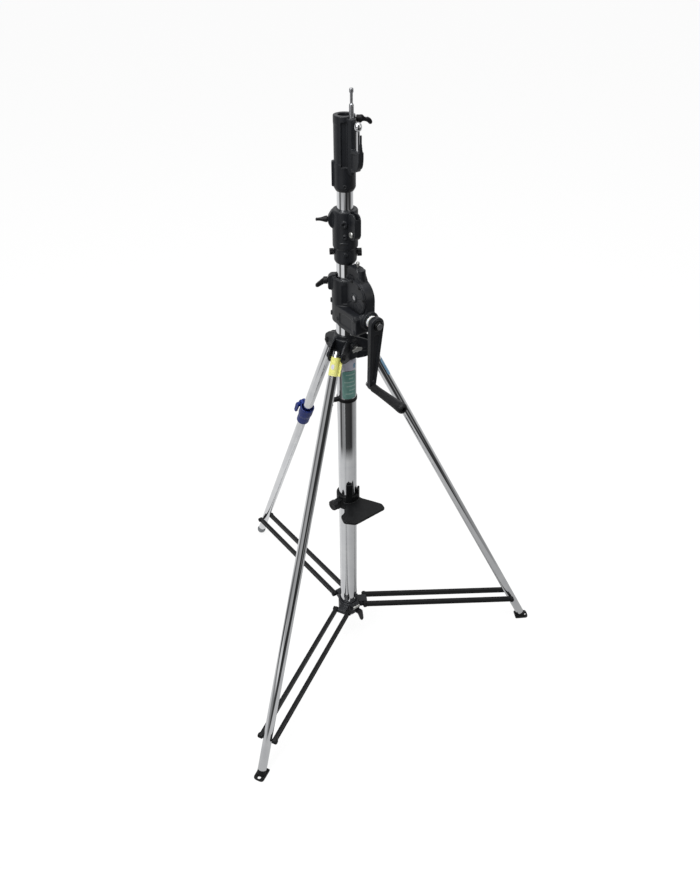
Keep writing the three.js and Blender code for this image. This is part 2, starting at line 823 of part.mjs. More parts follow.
function braces(name) {
  const side = turnedGroup(LEG_TURNS[name]);
  const { inner, outer } = BRACE;
  const bar = taper([inner.radius, inner.z, BRACE.r], [outer.radius, outer.z, BRACE.r]);
  const hole = alongY(HOLE_R, -30, 30, inner.radius, inner.z, 12);
  const near = BRACE.side - BRACE.thick / 2;
  const reach = near + BRACE.thick;
  // each bar has a stud towards the leg and a round head on its outer face
  const hand = (sign) => {
    const between = (y0, y1) => [y0 * sign, y1 * sign].sort((a, b) => a - b);
    const round = (r, y0, y1, sides) => alongY(r, ...between(y0, y1), outer.radius, outer.z, sides);
    const stud = round(BOLT_R, LEG.r + 0.5, near + 1, 12);
    const head = round(BRACE.r, reach - 1, reach + 4.5, 16);
    return cut(join(plateXZ(bar, ...between(near, reach)), stud, head), hole);
  };
  piece(side, name + "_brace_a", hand(1), BLACK_STEEL);
  piece(side, name + "_brace_b", hand(-1), BLACK_STEEL);
  piece(
    side,
    name + "_brace_bolt",
    join(
      alongY(BOLT_R, -reach - 2, reach + 2, inner.radius, inner.z, 12),
      alongY(7, -reach - 4.5, -reach - GAP, inner.radius, inner.z, 6),
      alongY(7, reach + GAP, reach + 4.5, inner.radius, inner.z, 16),
    ),
    BLACK_STEEL,
  );
}

// ---------------------------------------------------------------- catch bracket on the column
function catchBracket() {
  const z = 556;
  const fan = plateXY(
    outline([
      [10, -26],
      [30, -34],
      [54, -50],
      [60, -66],
      [86, -74],
      [110, -50],
      [104, 56],
      [80, 62],
      [56, 52],
      [30, 34],
      [10, 26],
    ]),
    z,
    z + 7,
  );
  const prong = (turn, high) => turnedGeometry(block(26, 33, -9, 9, z, high), turn);
  const lug = turnedGeometry(block(-46, -24, -8, 8, z - 14, z + 22), 97);
  piece(
    crankSide,
    "catch_bracket",
    cut(
      join(rod(32.5, z - 18, z + 26, 32), fan, prong(-27, 640), prong(45, 622), lug),
      rod(BASE.r + GAP, 400, 700, 32),
      turnedGeometry(alongX(HOLE_R, -60, -26, 0, z + 4, 12), 97),
    ),
    BLACK_STEEL,
  );
  const knob = join(
    alongX(BOLT_R, -48, -27, 0, z + 4, 12),
    cone(10, 13, 46.4, 60, 16).rotateY(-Math.PI / 2).translate(0, 0, z + 4),
  );
  piece(crankSide, "catch_bracket_knob", turnedGeometry(knob, 97), BLACK_PLASTIC);
}

// A small stop collar with a T-handled screw, part way up the base tube.
function stopCollar() {
  const z = 905;
  piece(
    crankSide,
    "stop_clip",
    cut(
      join(rod(27.8, z - 7.5, z + 7.5, 32), turnedGeometry(alongX(7, -36, -20, 0, z, 16), 80)),
      rod(BASE.r + GAP, z - 20, z + 20, 32),
      turnedGeometry(alongX(HOLE_R, -40, -20, 0, z, 12), 80),
    ),
    BLACK_STEEL,
  );
  const handle = join(
    alongX(BOLT_R, -42, -27, 0, z, 12),
    alongX(6.5, -46, -36.4, 0, z, 16),
    at(rod(4, -17, 17, 12), -44, 0, z),
  );
  piece(crankSide, "stop_clip_screw", turnedGeometry(handle, 80), BLACK_PLASTIC);
}

columnTubes();
riserRack();
gearbox();
crank();
riserCollar();
head();
legCollar();
plainLeg("right");
plainLeg("front");
levellingLeg();
lowerCollar();
Object.keys(LEG_TURNS).forEach(braces);
catchBracket();
stopCollar();

export default stand;
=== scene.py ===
# Crank lighting stand: the visible surfaces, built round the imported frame.
# Shapes are written in millimetres and degrees, and become metres as each mesh is made. +Z is up.
# The crank side is the frame about the column axis whose X points at the crank.
import math

import bmesh
import bpy
from mathutils import Matrix, Vector

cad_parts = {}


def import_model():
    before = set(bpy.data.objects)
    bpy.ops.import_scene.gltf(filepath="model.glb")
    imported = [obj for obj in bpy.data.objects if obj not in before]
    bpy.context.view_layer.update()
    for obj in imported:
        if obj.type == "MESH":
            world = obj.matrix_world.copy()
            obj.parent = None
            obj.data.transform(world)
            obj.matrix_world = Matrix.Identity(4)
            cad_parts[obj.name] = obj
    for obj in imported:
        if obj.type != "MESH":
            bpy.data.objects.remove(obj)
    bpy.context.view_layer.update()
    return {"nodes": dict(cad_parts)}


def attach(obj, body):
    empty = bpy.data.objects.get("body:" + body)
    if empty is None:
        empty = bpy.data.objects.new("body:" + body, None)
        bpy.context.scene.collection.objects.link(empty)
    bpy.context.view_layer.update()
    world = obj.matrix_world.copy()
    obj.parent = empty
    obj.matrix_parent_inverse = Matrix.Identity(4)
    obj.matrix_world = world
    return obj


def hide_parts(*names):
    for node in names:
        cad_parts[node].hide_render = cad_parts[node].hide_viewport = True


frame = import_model()

MM = 0.001
LEG_TURNS = {"right": 0, "levelling": 120, "front": 240}
COLLAR_TURNS = [60, 180, 300]  # the same legs, turned from the crank side
LEG_ANGLE = 26.3
PIVOT_RADIUS = 57
PIVOT_HEIGHT = 1057
GEAR_U = 58  # the drive gear's axle: how far from the column axis, and how high
GEAR_Z = 1218
WORM_Z = 1170  # the height of the crank's shaft
FRONT_SIDE = -35  # the sides of the column that face the front and the back, from the crank side
BACK_SIDE = 235
RISER_BACK_SIDE = 240
SCREW_R = 4
SCREW_HOLE_R = 4.4


# ---------------------------------------------------------------- places
def move(x=0, y=0, z=0):
    return Matrix.Translation(Vector((x, y, z)) * MM)


def turn(degrees, axis="Z"):
    return Matrix.Rotation(math.radians(degrees), 4, axis)


HERE = Matrix()
COLUMN = move(-145)
CRANK = COLUMN @ turn(-60)
ALONG_X = turn(90, "Y")
ALONG_Y = turn(-90, "X")
SHAFT = move(0, 0, WORM_Z) @ ALONG_X
WHEEL = move(GEAR_U, 0, GEAR_Z) @ ALONG_Y
LEG_PIVOT = move(PIVOT_RADIUS, 0, PIVOT_HEIGHT)
LEG_LINE = LEG_PIVOT @ turn(-LEG_ANGLE, "Y")


def side(name):
    return COLUMN @ turn(LEG_TURNS[name])


def leg_place(name):
    """The leg's own frame: the origin at its pivot, and local Z up along the tube."""
    return side(name) @ LEG_LINE


def radial(degrees, z):
    """Turned about the column, with local Z pointing outwards at height z."""
    return turn(degrees) @ move(0, 0, z) @ ALONG_X


# ---------------------------------------------------------------- materials
def noise(nodes, links, vector, scale, detail=3):
    made = nodes.new("ShaderNodeTexNoise")
    made.inputs["Scale"].default_value = scale
    made.inputs["Detail"].default_value = detail
    links.new(vector, made.inputs["Vector"])
    return made.outputs["Fac"]


def math_node(nodes, links, operation, *values):
    made = nodes.new("ShaderNodeMath")
    made.operation = operation
    for socket, value in zip(made.inputs, values):
        if isinstance(value, bpy.types.NodeSocket):
            links.new(value, socket)
        else:
            socket.default_value = value
    return made.outputs["Value"]


def spread(nodes, links, value, low, high, start=0.3, end=0.7):
    """value, as it goes from start to end, becomes low to high."""
    made = nodes.new("ShaderNodeMapRange")
    for socket, number in zip(made.inputs[1:5], (start, end, low, high)):
        socket.default_value = number
    links.new(value, made.inputs["Value"])
    return made.outputs["Result"]


def mixed(nodes, links, factor, first, second):
    """A colour between two, each a colour of three numbers or an output."""
    made = nodes.new("ShaderNodeMix")
    made.data_type = "RGBA"
    links.new(factor, made.inputs["Factor"])
    for socket, colour in zip(made.inputs[6:8], (first, second)):
        if isinstance(colour, bpy.types.NodeSocket):
            links.new(colour, socket)
        else:
            socket.default_value = (*colour, 1)
    return made.outputs[2]


def worn_share(nodes, links, place):
    """How much of an edge is rubbed bare: patches, on the sharp edges only."""
    edge = nodes.new("ShaderNodeNewGeometry").outputs["Pointiness"]
    sharp = spread(nodes, links, edge, 0, 1, 0.52, 0.6)
    patches = spread(nodes, links, noise(nodes, links, place, 180), 0, 0.8, 0.45, 0.62)
    return math_node(nodes, links, "MULTIPLY", sharp, patches)


MATERIALS = {}


def material(name, colours, metallic, rough, grain, bump, worn=None, **sockets):
    """A finish whose colour and roughness wander between two values, with a fine grain bump mm deep.
    worn is the colour that shows on its sharp edges."""
    mat = bpy.data.materials.new(name)
    mat.use_nodes = True
    nodes, links = mat.node_tree.nodes, mat.node_tree.links
    shader = nodes["Principled BSDF"]
    shader.inputs["Metallic"].default_value = metallic
    for socket, number in sockets.items():
        shader.inputs[socket.replace("_", " ")].default_value = number
    place = nodes.new("ShaderNodeTexCoord").outputs["Object"]
    fine = noise(nodes, links, place, grain)
    slow = noise(nodes, links, place, 28, 4)
    colour = mixed(nodes, links, spread(nodes, links, slow, 0, 1), *colours)
    if worn:
        colour = mixed(nodes, links, worn_share(nodes, links, place), colour, worn)
    links.new(colour, shader.inputs["Base Color"])
    links.new(spread(nodes, links, fine, *rough), shader.inputs["Roughness"])
    relief = nodes.new("ShaderNodeBump")
    relief.inputs["Strength"].default_value = 0.6
    relief.inputs["Distance"].default_value = bump * MM
    links.new(fine, relief.inputs["Height"])
    links.new(relief.outputs["Normal"], shader.inputs["Normal"])
    MATERIALS[name] = mat


def metal(name, colours, rough, grain, bump):
    material(name, colours, 1, rough, grain, bump)


def label_print(name, *colours):
    material(name, colours, 0, (0.3, 0.42), 900, 0.01)


metal("chrome", [(0.72, 0.73, 0.75), (0.8, 0.81, 0.82)], (0.03, 0.08), 500, 0.003)
metal("zinc", [(0.42, 0.43, 0.42), (0.62, 0.62, 0.59)], (0.28, 0.5), 700, 0.02)
metal("black_zinc", [(0.03, 0.032, 0.033), (0.055, 0.057, 0.056)], (0.35, 0.5), 700, 0.02)
metal("steel", [(0.36, 0.37, 0.39), (0.5, 0.5, 0.51)], (0.2, 0.42), 900, 0.01)
metal("bronze", [(0.5, 0.33, 0.12), (0.62, 0.43, 0.17)], (0.25, 0.45), 500, 0.02)
material(
    "black_casting", [(0.009, 0.01, 0.0125), (0.015, 0.0165, 0.02)], 0, (0.32, 0.48), 1500, 0.05,
    (0.04, 0.043, 0.05), Specular_IOR_Level=0.35,
)
material(
    "black_steel", [(0.006, 0.0063, 0.0068), (0.01, 0.0105, 0.0115)], 0, (0.36, 0.52), 1200, 0.03,
    Specular_IOR_Level=0.18,
)
material(
    "black_plastic", [(0.006, 0.006, 0.007), (0.01, 0.01, 0.0115)], 0, (0.38, 0.54), 2200, 0.04,
    Specular_IOR_Level=0.25,
)
material("grey_rubber", [(0.19, 0.2, 0.21), (0.25, 0.26, 0.27)], 0, (0.6, 0.85), 1500, 0.08)
material(
    "white_nylon", [(0.78, 0.78, 0.76), (0.86, 0.86, 0.84)], 0, (0.4, 0.55), 1200, 0.02,
    Subsurface_Weight=0.1,
)
material(
    "blue_plastic", [(0.009, 0.022, 0.15), (0.013, 0.034, 0.22)], 0, (0.34, 0.5), 1800, 0.03,
    Specular_IOR_Level=0.3,
)
label_print("yellow_label", (0.76, 0.74, 0.16), (0.84, 0.83, 0.34))
label_print("pale_label", (0.6, 0.6, 0.72), (0.72, 0.71, 0.8))
label_print("teal_label", (0.14, 0.34, 0.3), (0.22, 0.42, 0.37))
label_print("mint_label", (0.34, 0.52, 0.48), (0.42, 0.6, 0.56))
label_print("blue_label", (0.16, 0.32, 0.48), (0.24, 0.42, 0.58))


# ---------------------------------------------------------------- shapes
def rounded(points, corner, closed=True, steps=4):
    """An outline with its corners rounded, each by corner or by its own third number."""
    made = []
    for i, point in enumerate(points):
        here = Vector(point[:2])
        reach = point[2] if len(point) > 2 else corner
        if reach <= 0 or (not closed and i in (0, len(points) - 1)):
            made.append(here)
            continue
        before = Vector(points[i - 1][:2]) - here
        after = Vector(points[(i + 1) % len(points)][:2]) - here
        reach = min(reach, 0.45 * before.length, 0.45 * after.length)
        first = here + before.normalized() * reach
        last = here + after.normalized() * reach
        for k in range(steps + 1):
            t = k / steps
            made.append(first * (1 - t) ** 2 + here * 2 * t * (1 - t) + last * t * t)
    return made


def closed_mesh(bm):
    bmesh.ops.recalc_face_normals(bm, faces=bm.faces)
    mesh = bpy.data.meshes.new("shape")
    bm.to_mesh(mesh)
    bm.free()
    return mesh


def lathe(profile, place=HERE, corner=0.6, steps=64):
    """A body turned about local Z from (radius, height) corners, or a ring if they start off the axis."""
    ring = profile[0][0] > 0
    bm = bmesh.new()
    rims = []
    for r, z in rounded(profile, corner, closed=ring):
        count = steps if r > 1e-6 else 1
        angles = [2 * math.pi * k / steps for k in range(count)]
        spots = [Vector((r * math.cos(a), r * math.sin(a), z)) * MM for a in angles]
        rims.append([bm.verts.new(place @ spot) for spot in spots])
    for a, b in zip(rims, rims[1:] + rims[:1] if ring else rims[1:]):
        for k in range(steps):
            n = k + 1
            corners = [a[k % len(a)], a[n % len(a)], b[n % len(b)], b[k % len(b)]]
            bm.faces.new(list(dict.fromkeys(corners)))
    return closed_mesh(bm)


def pipe(outer, inner, low, high, place=HERE, corner=0.4, steps=96):
    return lathe([(inner, low), (outer, low), (outer, high), (inner, high)], place, corner, steps)


def rod(r, low, high, place=HERE, corner=0.6, steps=48):
    return lathe([(0, low), (r, low), (r, high), (0, high)], place, corner, steps)


def prism(outline, low, high, axis="Z", place=HERE, corner=1.0, edge=0.8):
    """A plate that is thick along axis from low to high, with its outline and both rims rounded."""
    spot = {
        "X": lambda a, b, t: (t, a, b),
        "Y": lambda a, b, t: (a, t, b),
        "Z": lambda a, b, t: (a, b, t),
    }[axis]
    line = rounded(outline, corner)
    bm = bmesh.new()
    rims = [
        [bm.verts.new(place @ (Vector(spot(a, b, t)) * MM)) for a, b in line]
        for t in (low, high)
    ]
    caps = [bm.faces.new(rim) for rim in rims]
    for i in range(len(line)):
        j = (i + 1) % len(line)
        bm.faces.new([rims[0][i], rims[0][j], rims[1][j], rims[1][i]])
    if edge:
        edges = [e for cap in caps for e in cap.edges]
        bmesh.ops.bevel(
            bm, geom=edges, offset=edge * MM, segments=3, profile=0.5, affect="EDGES", clamp_overlap=True
        )
    return closed_mesh(bm)


def block(x, y, z, place=HERE, corner=1.0, edge=0.8):
    """A box with rounded edges between two places on each axis."""
    corners = [(x[0], y[0]), (x[1], y[0]), (x[1], y[1]), (x[0], y[1])]
    return prism(corners, *z, "Z", place, corner, edge)


def circle(r, x=0, y=0, steps=48, lobes=0, depth=0.0):
    """A round outline, or one with lobes round it like a hand knob."""
    made = []
    for k in range(steps):
        a = 2 * math.pi * k / steps
        reach = r - depth * (0.5 - 0.5 * math.cos(lobes * a))
        made.append((x + reach * math.cos(a), y + reach * math.sin(a), 0))
    return made


def taper(first, last, steps=14):
    """The outline round two circles, each (x, y, radius): a tapered bar with round ends."""
    (x0, y0, r0), (x1, y1, r1) = first, last
    way = math.atan2(y1 - y0, x1 - x0)
    lean = math.acos((r0 - r1) / math.hypot(x1 - x0, y1 - y0))
    made = []
    for x, y, r, start, end in (
        (x1, y1, r1, way - lean, way + lean),
        (x0, y0, r0, way + lean, way + 2 * math.pi - lean),
    ):
        for k in range(steps + 1):
            a = start + (end - start) * k / steps
            made.append((x + r * math.cos(a), y + r * math.sin(a), 0))
    return made


def hexagon(r, low, high, place=HERE):
    """A six-sided nut or bolt head with its corners turned off."""
    sides = [(r * math.cos(k * math.pi / 3), r * math.sin(k * math.pi / 3)) for k in range(6)]
    nut = prism(sides, low, high, "Z", place, 0.3, 0.5)
    face = r * 0.93
    turned = [(0, low), (face, low), (r, low + 1.4), (r, high - 1.4), (face, high), (0, high)]
    return shaped([nut], keep=[lathe(turned, place, 0.2, 48)])


def linked(mesh):
    made = bpy.data.objects.new("shape", mesh)
    bpy.context.scene.collection.objects.link(made)
    return made


def shaped(adds, cuts=(), keep=(), voxel=0.0, soften=4):
    """One mesh: adds joined, cuts taken away, only what is inside keep kept. Where voxel is given, its
    edges and inside corners are rounded as a casting's are."""
    base = linked(adds[0])
    tools = []
    for operation, meshes in (("UNION", adds[1:]), ("DIFFERENCE", cuts), ("INTERSECT", keep)):
        for mesh in meshes:
            tools.append(linked(mesh))
            step = base.modifiers.new("step", "BOOLEAN")
            step.operation = operation
            step.object = tools[-1]
            step.solver = "MANIFOLD"
    if voxel:
        cast = base.modifiers.new("cast", "REMESH")
        cast.mode = "VOXEL"
        cast.voxel_size = voxel * MM
        smooth = base.modifiers.new("smooth", "SMOOTH")
        smooth.factor = 0.5
        smooth.iterations = soften
    graph = bpy.context.evaluated_depsgraph_get()
    made = bpy.data.meshes.new_from_object(base.evaluated_get(graph))
    for used in (base, *tools):
        bpy.data.objects.remove(used)
    return made


def show(name, mesh, where, body, finish, *nodes):
    """Puts a finished mesh in the stand: it rides on a body and stands for CAD nodes."""
    mesh.materials.clear()
    mesh.materials.append(MATERIALS[finish])
    for polygon in mesh.polygons:
        polygon.material_index = 0
    mesh.shade_smooth()
    mesh.set_sharp_from_angle(angle=math.radians(38))
    mesh.transform(where)
    made = bpy.data.objects.new(name, mesh)
    bpy.context.scene.collection.objects.link(made)
    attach(made, body)
    if nodes:
        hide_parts(*nodes)
    return made


def wrap(r, low, high, start, end, thick=0.25, steps=24):
    """A label wrapped part of the way round a tube, with round corners."""
    bm = bmesh.new()
    middle, half = (start + end) / 2, (end - start) / 2
    height = high - low
    ease = min(6.0, height / 3)
    rows = []
    for depth in (0.0, thick):
        rows.append([])
        for k in range(steps + 1):
            share = -1 + 2 * k / steps
            arc = abs(share) * math.radians(half) * r
            over = max(0.0, arc - (math.radians(half) * r - ease))
            dip = ease - math.sqrt(max(0.0, ease * ease - over * over))
            a = math.radians(middle + share * half)
            x, y = (r + depth) * math.cos(a), (r + depth) * math.sin(a)
            ends = (low + dip, high - dip)
            rows[-1].append([bm.verts.new(Vector((x, y, z)) * MM) for z in ends])
    inner, outer = rows
    for k in range(steps):
        for row in rows:
            bm.faces.new([row[k][0], row[k + 1][0], row[k + 1][1], row[k][1]])
        for rim in (0, 1):
            bm.faces.new([inner[k][rim], inner[k + 1][rim], outer[k + 1][rim], outer[k][rim]])
    for k in (0, steps):
        bm.faces.new([inner[k][0], inner[k][1], outer[k][1], outer[k][0]])
    return closed_mesh(bm)


# ---------------------------------------------------------------- column and labels
LABEL_BARS = [  # the height and both ends of each printed bar
    (984, -40, 20), (973, -22, 6), (962, -50, 12), (950, -36, 22), (938, -20, 20), (927, -42, 8),
]


def column_tubes():
    show("look_base_tube", pipe(25.5, 24, 92, 1192), COLUMN, "column", "chrome", "base_tube")
    plug = lathe([(0, 88), (25.5, 88, 2), (25.5, 91.7), (23.7, 91.7), (23.7, 110), (0, 110)])
    show("look_column_plug", plug, COLUMN, "column", "black_plastic", "column_plug")
    slot = block((16, 26), (-5.3, 5.3), (190, 1262), edge=0)
    wound = shaped([pipe(22.25, 20.5, 125, 1395)], [slot])
    show("look_riser_1_tube", wound, CRANK, "riser_1", "chrome", "riser_1_tube")
    show("look_riser_2_tube", pipe(18.75, 17.05, 170, 1478), COLUMN, "riser_2", "chrome", "riser_2_tube")


def labels():
    """Plain coloured bands where the stand carries its labels, and plain bars where they are printed."""
    front = leg_place("front")
    show("label_front", wrap(12.7, -49, -2, -100, 105), front, "front_leg", "yellow_label")
    flag = block((12.6, 19), (-0.3, 0.3), (-48, -3), turn(86), 0.1, 0)
    show("label_front_flag", flag, front, "front_leg", "yellow_label")
    show("label_front_mark", wrap(13, -33, -20, -20, 18), front, "front_leg", "pale_label")
    show("label_right", wrap(12.6, -102, -48, -52, 26), leg_place("right"), "right_leg", "blue_label")
    show("label_column", wrap(25.6, 913, 996, -62, 30), CRANK, "column", "teal_label")
    show("label_column_top", wrap(25.6, 998, 1028, -62, 30), CRANK, "column", "pale_label")
    for number, (z, start, end) in enumerate(LABEL_BARS):
        bar = wrap(25.85, z, z + 3.5, start, end, 0.1)
        show(f"label_bar_{number}", bar, CRANK, "column", "mint_label")
    mark = wrap(25.85, 1002, 1018, 6, 24, 0.1)
    show("label_column_mark", mark, CRANK, "column", "blue_label")


# ---------------------------------------------------------------- gearbox
GEAR_CASE_R = 43.5
GEARBOX_LOCK_Z = 1238


def gear_housing():
    worm_block = [
        (2, 1140), (18, 1131, 7), (86, 1131, 5), (91, 1138, 3), (91, 1176, 4), (84, 1184, 4), (2, 1184),
    ]
    upper = [(8, 1230), (76, 1230), (76, 1260, 6), (64, 1282, 6), (58, 1288, 3), (8, 1288)]
    ear = [(-43, 1216, 6), (-20, 1216), (-20, 1256), (-36, 1256, 10), (-43, 1248, 3)]
    flange = [(0, 85), (23, 85), (23, 92), (21.5, 93), (21.5, 97), (23, 98), (23, 104, 1.5), (0, 104)]
    adds = [
        lathe([(0, 1133), (32, 1133), (34.5, 1136), (34.5, 1250, 4), (0, 1250)]),
        prism(worm_block, -35, 22, "Y", corner=2, edge=3),
        prism(circle(GEAR_CASE_R, GEAR_U, GEAR_Z, 72), -13, 13, "Y", edge=1.5),
        block((10, GEAR_U + GEAR_CASE_R), (-13, 13), (1160, GEAR_Z), edge=1.5),
        shaped([prism(upper, -11, 11, "Y", corner=2, edge=1.5)], [rod(29, 1281, 1300)]),
        rod(9, 1240, 1288, move(66), 2),
        lathe(flange, SHAFT),
        prism(ear, -9, 9, "Y", turn(BACK_SIDE - 180), 2, 2.5),
        rod(6, 30, 38, radial(BACK_SIDE, 1186), 1.5),
        rod(6, 30, 38, radial(BACK_SIDE, 1152), 1.5),
    ]
    for u, z in ((12, 1150), (82, 1141), (82, 1174)):
        adds.append(rod(5, -37, -30, move(u, 0, z) @ ALONG_Y, 1))
    pocket = [(22, 1142, 4), (74, 1142, 4), (74, 1170, 6), (46, 1174, 6), (22, 1170, 4)]
    recess = [(30, 1240, 4), (56, 1240, 4), (56, 1258, 6), (48, 1268, 4), (30, 1268, 4)]
    cuts = [
        rod(25.8, 1100, 1192.3),
        rod(24.2, 1190, 1300),
        rod(39, -14, 9, WHEEL),
        rod(14.2, 29, 84, SHAFT),
        rod(8.4, 80, 120, SHAFT),
        rod(6.3, 0, 20, WHEEL),
        rod(SCREW_HOLE_R, 25, 60, radial(BACK_SIDE, GEARBOX_LOCK_Z)),
        prism(pocket, -37, -33.4, "Y", corner=2, edge=1),
        block((32.3, 40), (-11, 11), (1190, 1238), turn(FRONT_SIDE), 3, 1),
        prism(recess, -14, -9.8, "Y"),
        prism(recess, 9.8, 14, "Y"),
    ]
    body = shaped(adds, cuts, voxel=1.1)
    show("look_gear_housing", body, CRANK, "column", "black_casting", "gear_housing")


def gear_cover():
    adds = [
        rod(GEAR_CASE_R, -17, -13.3, WHEEL, 1, 96),
        rod(11, -19.5, -15, WHEEL, 1.5),
        pipe(41, 37.5, -18.2, -15, WHEEL, 0.8),
    ]
    for degrees in (-20, 20, 60, 100, 140):
        adds.append(block((13, 36), (-2, 2), (-18, -15), WHEEL @ turn(degrees), 1, 0.8))
    cuts = [
        block((0, 200), (-60, 60), (0, 1186), edge=0),
        rod(6.3, -22, -10, WHEEL),
        rod(34.8, 1100, 1300),
        rod(23.4, 80, 110, SHAFT),
    ]
    cover = shaped(adds, cuts, voxel=0.7, soften=3)
    show("look_gear_cover", cover, CRANK, "column", "black_casting", "gear_cover")
    heads = []
    for degrees in (12, 55, 100, 145):
        a = math.radians(degrees)
        place = move(GEAR_U + 40 * math.cos(a), 0, GEAR_Z + 40 * math.sin(a)) @ ALONG_Y
        hex_socket = rod(1.5, -22, -18.4, place, 0, 6)
        heads.append(shaped([rod(3.4, -20.2, -16.5, place, 0.5, 32)], [hex_socket]))
    show("cover_screws", shaped(heads), CRANK, "column", "black_steel")
    pin = lathe([(0, 1288.3), (3, 1288.3), (3, 1295), (4.5, 1295.6), (4.5, 1300, 1), (3, 1301), (0, 1301)])
    show("look_gearbox_pin", pin, CRANK @ move(50), "column", "zinc", "gearbox_pin")


def gearbox_lock_lever():
    """A clamping lever whose arm flares outwards and down from its hub."""
    back = radial(BACK_SIDE, GEARBOX_LOCK_Z)
    arm = taper((-51, GEARBOX_LOCK_Z, 6.5), (-69, GEARBOX_LOCK_Z - 13, 4.5))
    adds = [
        rod(SCREW_R, 27, 45, back),
        lathe([(0, 43.4), (9, 43.4), (9, 54, 2), (0, 54)], back, 1),
        prism(arm, -4, 4, "Y", turn(BACK_SIDE - 180), edge=2),
    ]
    show("look_gearbox_lock_lever", shaped(adds, voxel=0.6), CRANK, "gearbox_lock", "black_plastic",
         "gearbox_lock_lever")


CRANK_LEAN = math.radians(4)
CRANK_REACH = 166.4


def crank():
    end_y = -math.sin(CRANK_LEAN) * CRANK_REACH
    end_z = WORM_Z - math.cos(CRANK_LEAN) * CRANK_REACH
    grip = move(0, end_y, end_z) @ ALONG_X
    outline = taper((0, WORM_Z, 19.5), (end_y, end_z, 9))
    pocket = taper((-2.1, WORM_Z - 32, 9), (end_y * 0.88, end_z + 21, 4))
    adds = [
        prism(outline, 117, 130, "X", edge=2),
        rod(13, 110, 118, SHAFT, 1.5),
        rod(7, 111, 118, grip, 1),
        rod(14.5, 128, 131, SHAFT, 1),
    ]
    cuts = [
        prism(pocket, 127, 134, "X", edge=0.8),
        prism(pocket, 112, 119.5, "X", edge=0.8),
        rod(8.4, 100, 140, SHAFT),
        rod(SCREW_HOLE_R, 100, 140, grip),
        rod(11.8, 130, 140, SHAFT),
    ]
    show("look_crank_arm", shaped(adds, cuts, voxel=0.7), CRANK, "crank", "black_casting", "crank_arm")
    washer = pipe(15, 8.4, 104.4, 109.7, SHAFT, 0.8)
    show("look_crank_washer", washer, CRANK, "crank", "white_nylon", "crank_washer")
    nut = shaped([hexagon(12, 130.3, 137, SHAFT)], [rod(8.4, 120, 140, SHAFT)])
    show("look_crank_nut", nut, CRANK, "crank", "black_zinc", "crank_nut")
    profile = [
        (4.4, 130.6), (9, 130.6, 1), (10.5, 134, 2), (10, 152, 8), (12, 222, 20), (13.5, 241, 5),
        (13.3, 248, 3), (9, 253, 2), (5.5, 253), (5.5, 238), (4.4, 238),
    ]
    handle = lathe(profile, grip, 0.6, 72)
    grooves = [pipe(14, 12.9, z, z + 1.2, grip, 0.3) for z in (236, 240)]
    show("look_crank_grip", shaped([handle], grooves), CRANK, "crank_grip", "black_plastic", "crank_grip")
    pin = lathe([(0, 107), (6.5, 107, 1.5), (6.5, 110.7), (4, 110.7), (4, 236.5), (0, 236.5)], grip)
    show("look_grip_pin", pin, CRANK, "crank", "steel", "grip_pin")


# ---------------------------------------------------------------- riser collar
PULLEY_U = 37
PULLEY_Z = 1364
PULLEY = move(PULLEY_U, 0, PULLEY_Z) @ ALONG_Y
RISER_LOCK = radial(RISER_BACK_SIDE, 1391)
RISER_KNOB = radial(RISER_BACK_SIDE - 180, 1308)
RISER_SCREW = radial(RISER_BACK_SIDE, 1312)


def riser_collar():
    sleeve = [
        (0, 1284), (22, 1284), (27, 1291, 3), (27.5, 1322), (30, 1326), (30, 1411), (28.5, 1414), (0, 1414),
    ]
    ear = [(-40, 1382, 5), (-40, 1397, 8), (-29, 1414, 9), (-20, 1414), (-20, 1370), (-32, 1370, 5)]
    cheeks = taper((PULLEY_U, PULLEY_Z + 34, 14), (PULLEY_U, PULLEY_Z, 14))
    pulley_slot = taper((PULLEY_U, PULLEY_Z + 76, 12.8), (PULLEY_U, PULLEY_Z, 12.8))
    adds = [
        lathe(sleeve, corner=1.5, steps=96),
        prism(cheeks, -9, 9, "Y", edge=1.5),
        prism(ear, -8, 8, "Y", turn(RISER_BACK_SIDE - 180), 2, 2),
        rod(8, 26, 33.5, radial(FRONT_SIDE - 4, 1386), 1.5),
        rod(5.5, 26, 32.5, radial(FRONT_SIDE - 2, 1356), 1.2),
        block((24, 30.8), (-13, 5), (1338, 1341.5), turn(FRONT_SIDE), 1, 0.8),
        rod(5, 24, 30.5, radial(FRONT_SIDE, 1312), 1),
    ]
    cuts = [
        rod(22.55, 1280, 1395.3),
        rod(19.15, 1380, 1420),
        prism(pulley_slot, -4.6, 4.6, "Y", edge=0),
        rod(3.4, -12, 12, PULLEY),
        rod(SCREW_HOLE_R, 24, 60, RISER_LOCK),
        rod(SCREW_HOLE_R, 22, 40, RISER_KNOB),
        rod(SCREW_HOLE_R, 22, 40, RISER_SCREW),
        rod(4, 30, 36, radial(FRONT_SIDE - 4, 1386)),
        rod(2.5, 30, 36, radial(FRONT_SIDE - 2, 1356)),
    ]
    # the slot for the pulley stays out of the wall round the riser
    wall = pipe(24.3, 22.55, 1300, 1414, steps=64)
    body = shaped([shaped(adds, cuts), wall], [rod(19.15, 1396, 1420)], voxel=0.8)
    show("look_riser_collar", body, CRANK, "riser_1", "black_casting", "riser_collar")
    riser_collar_fittings()


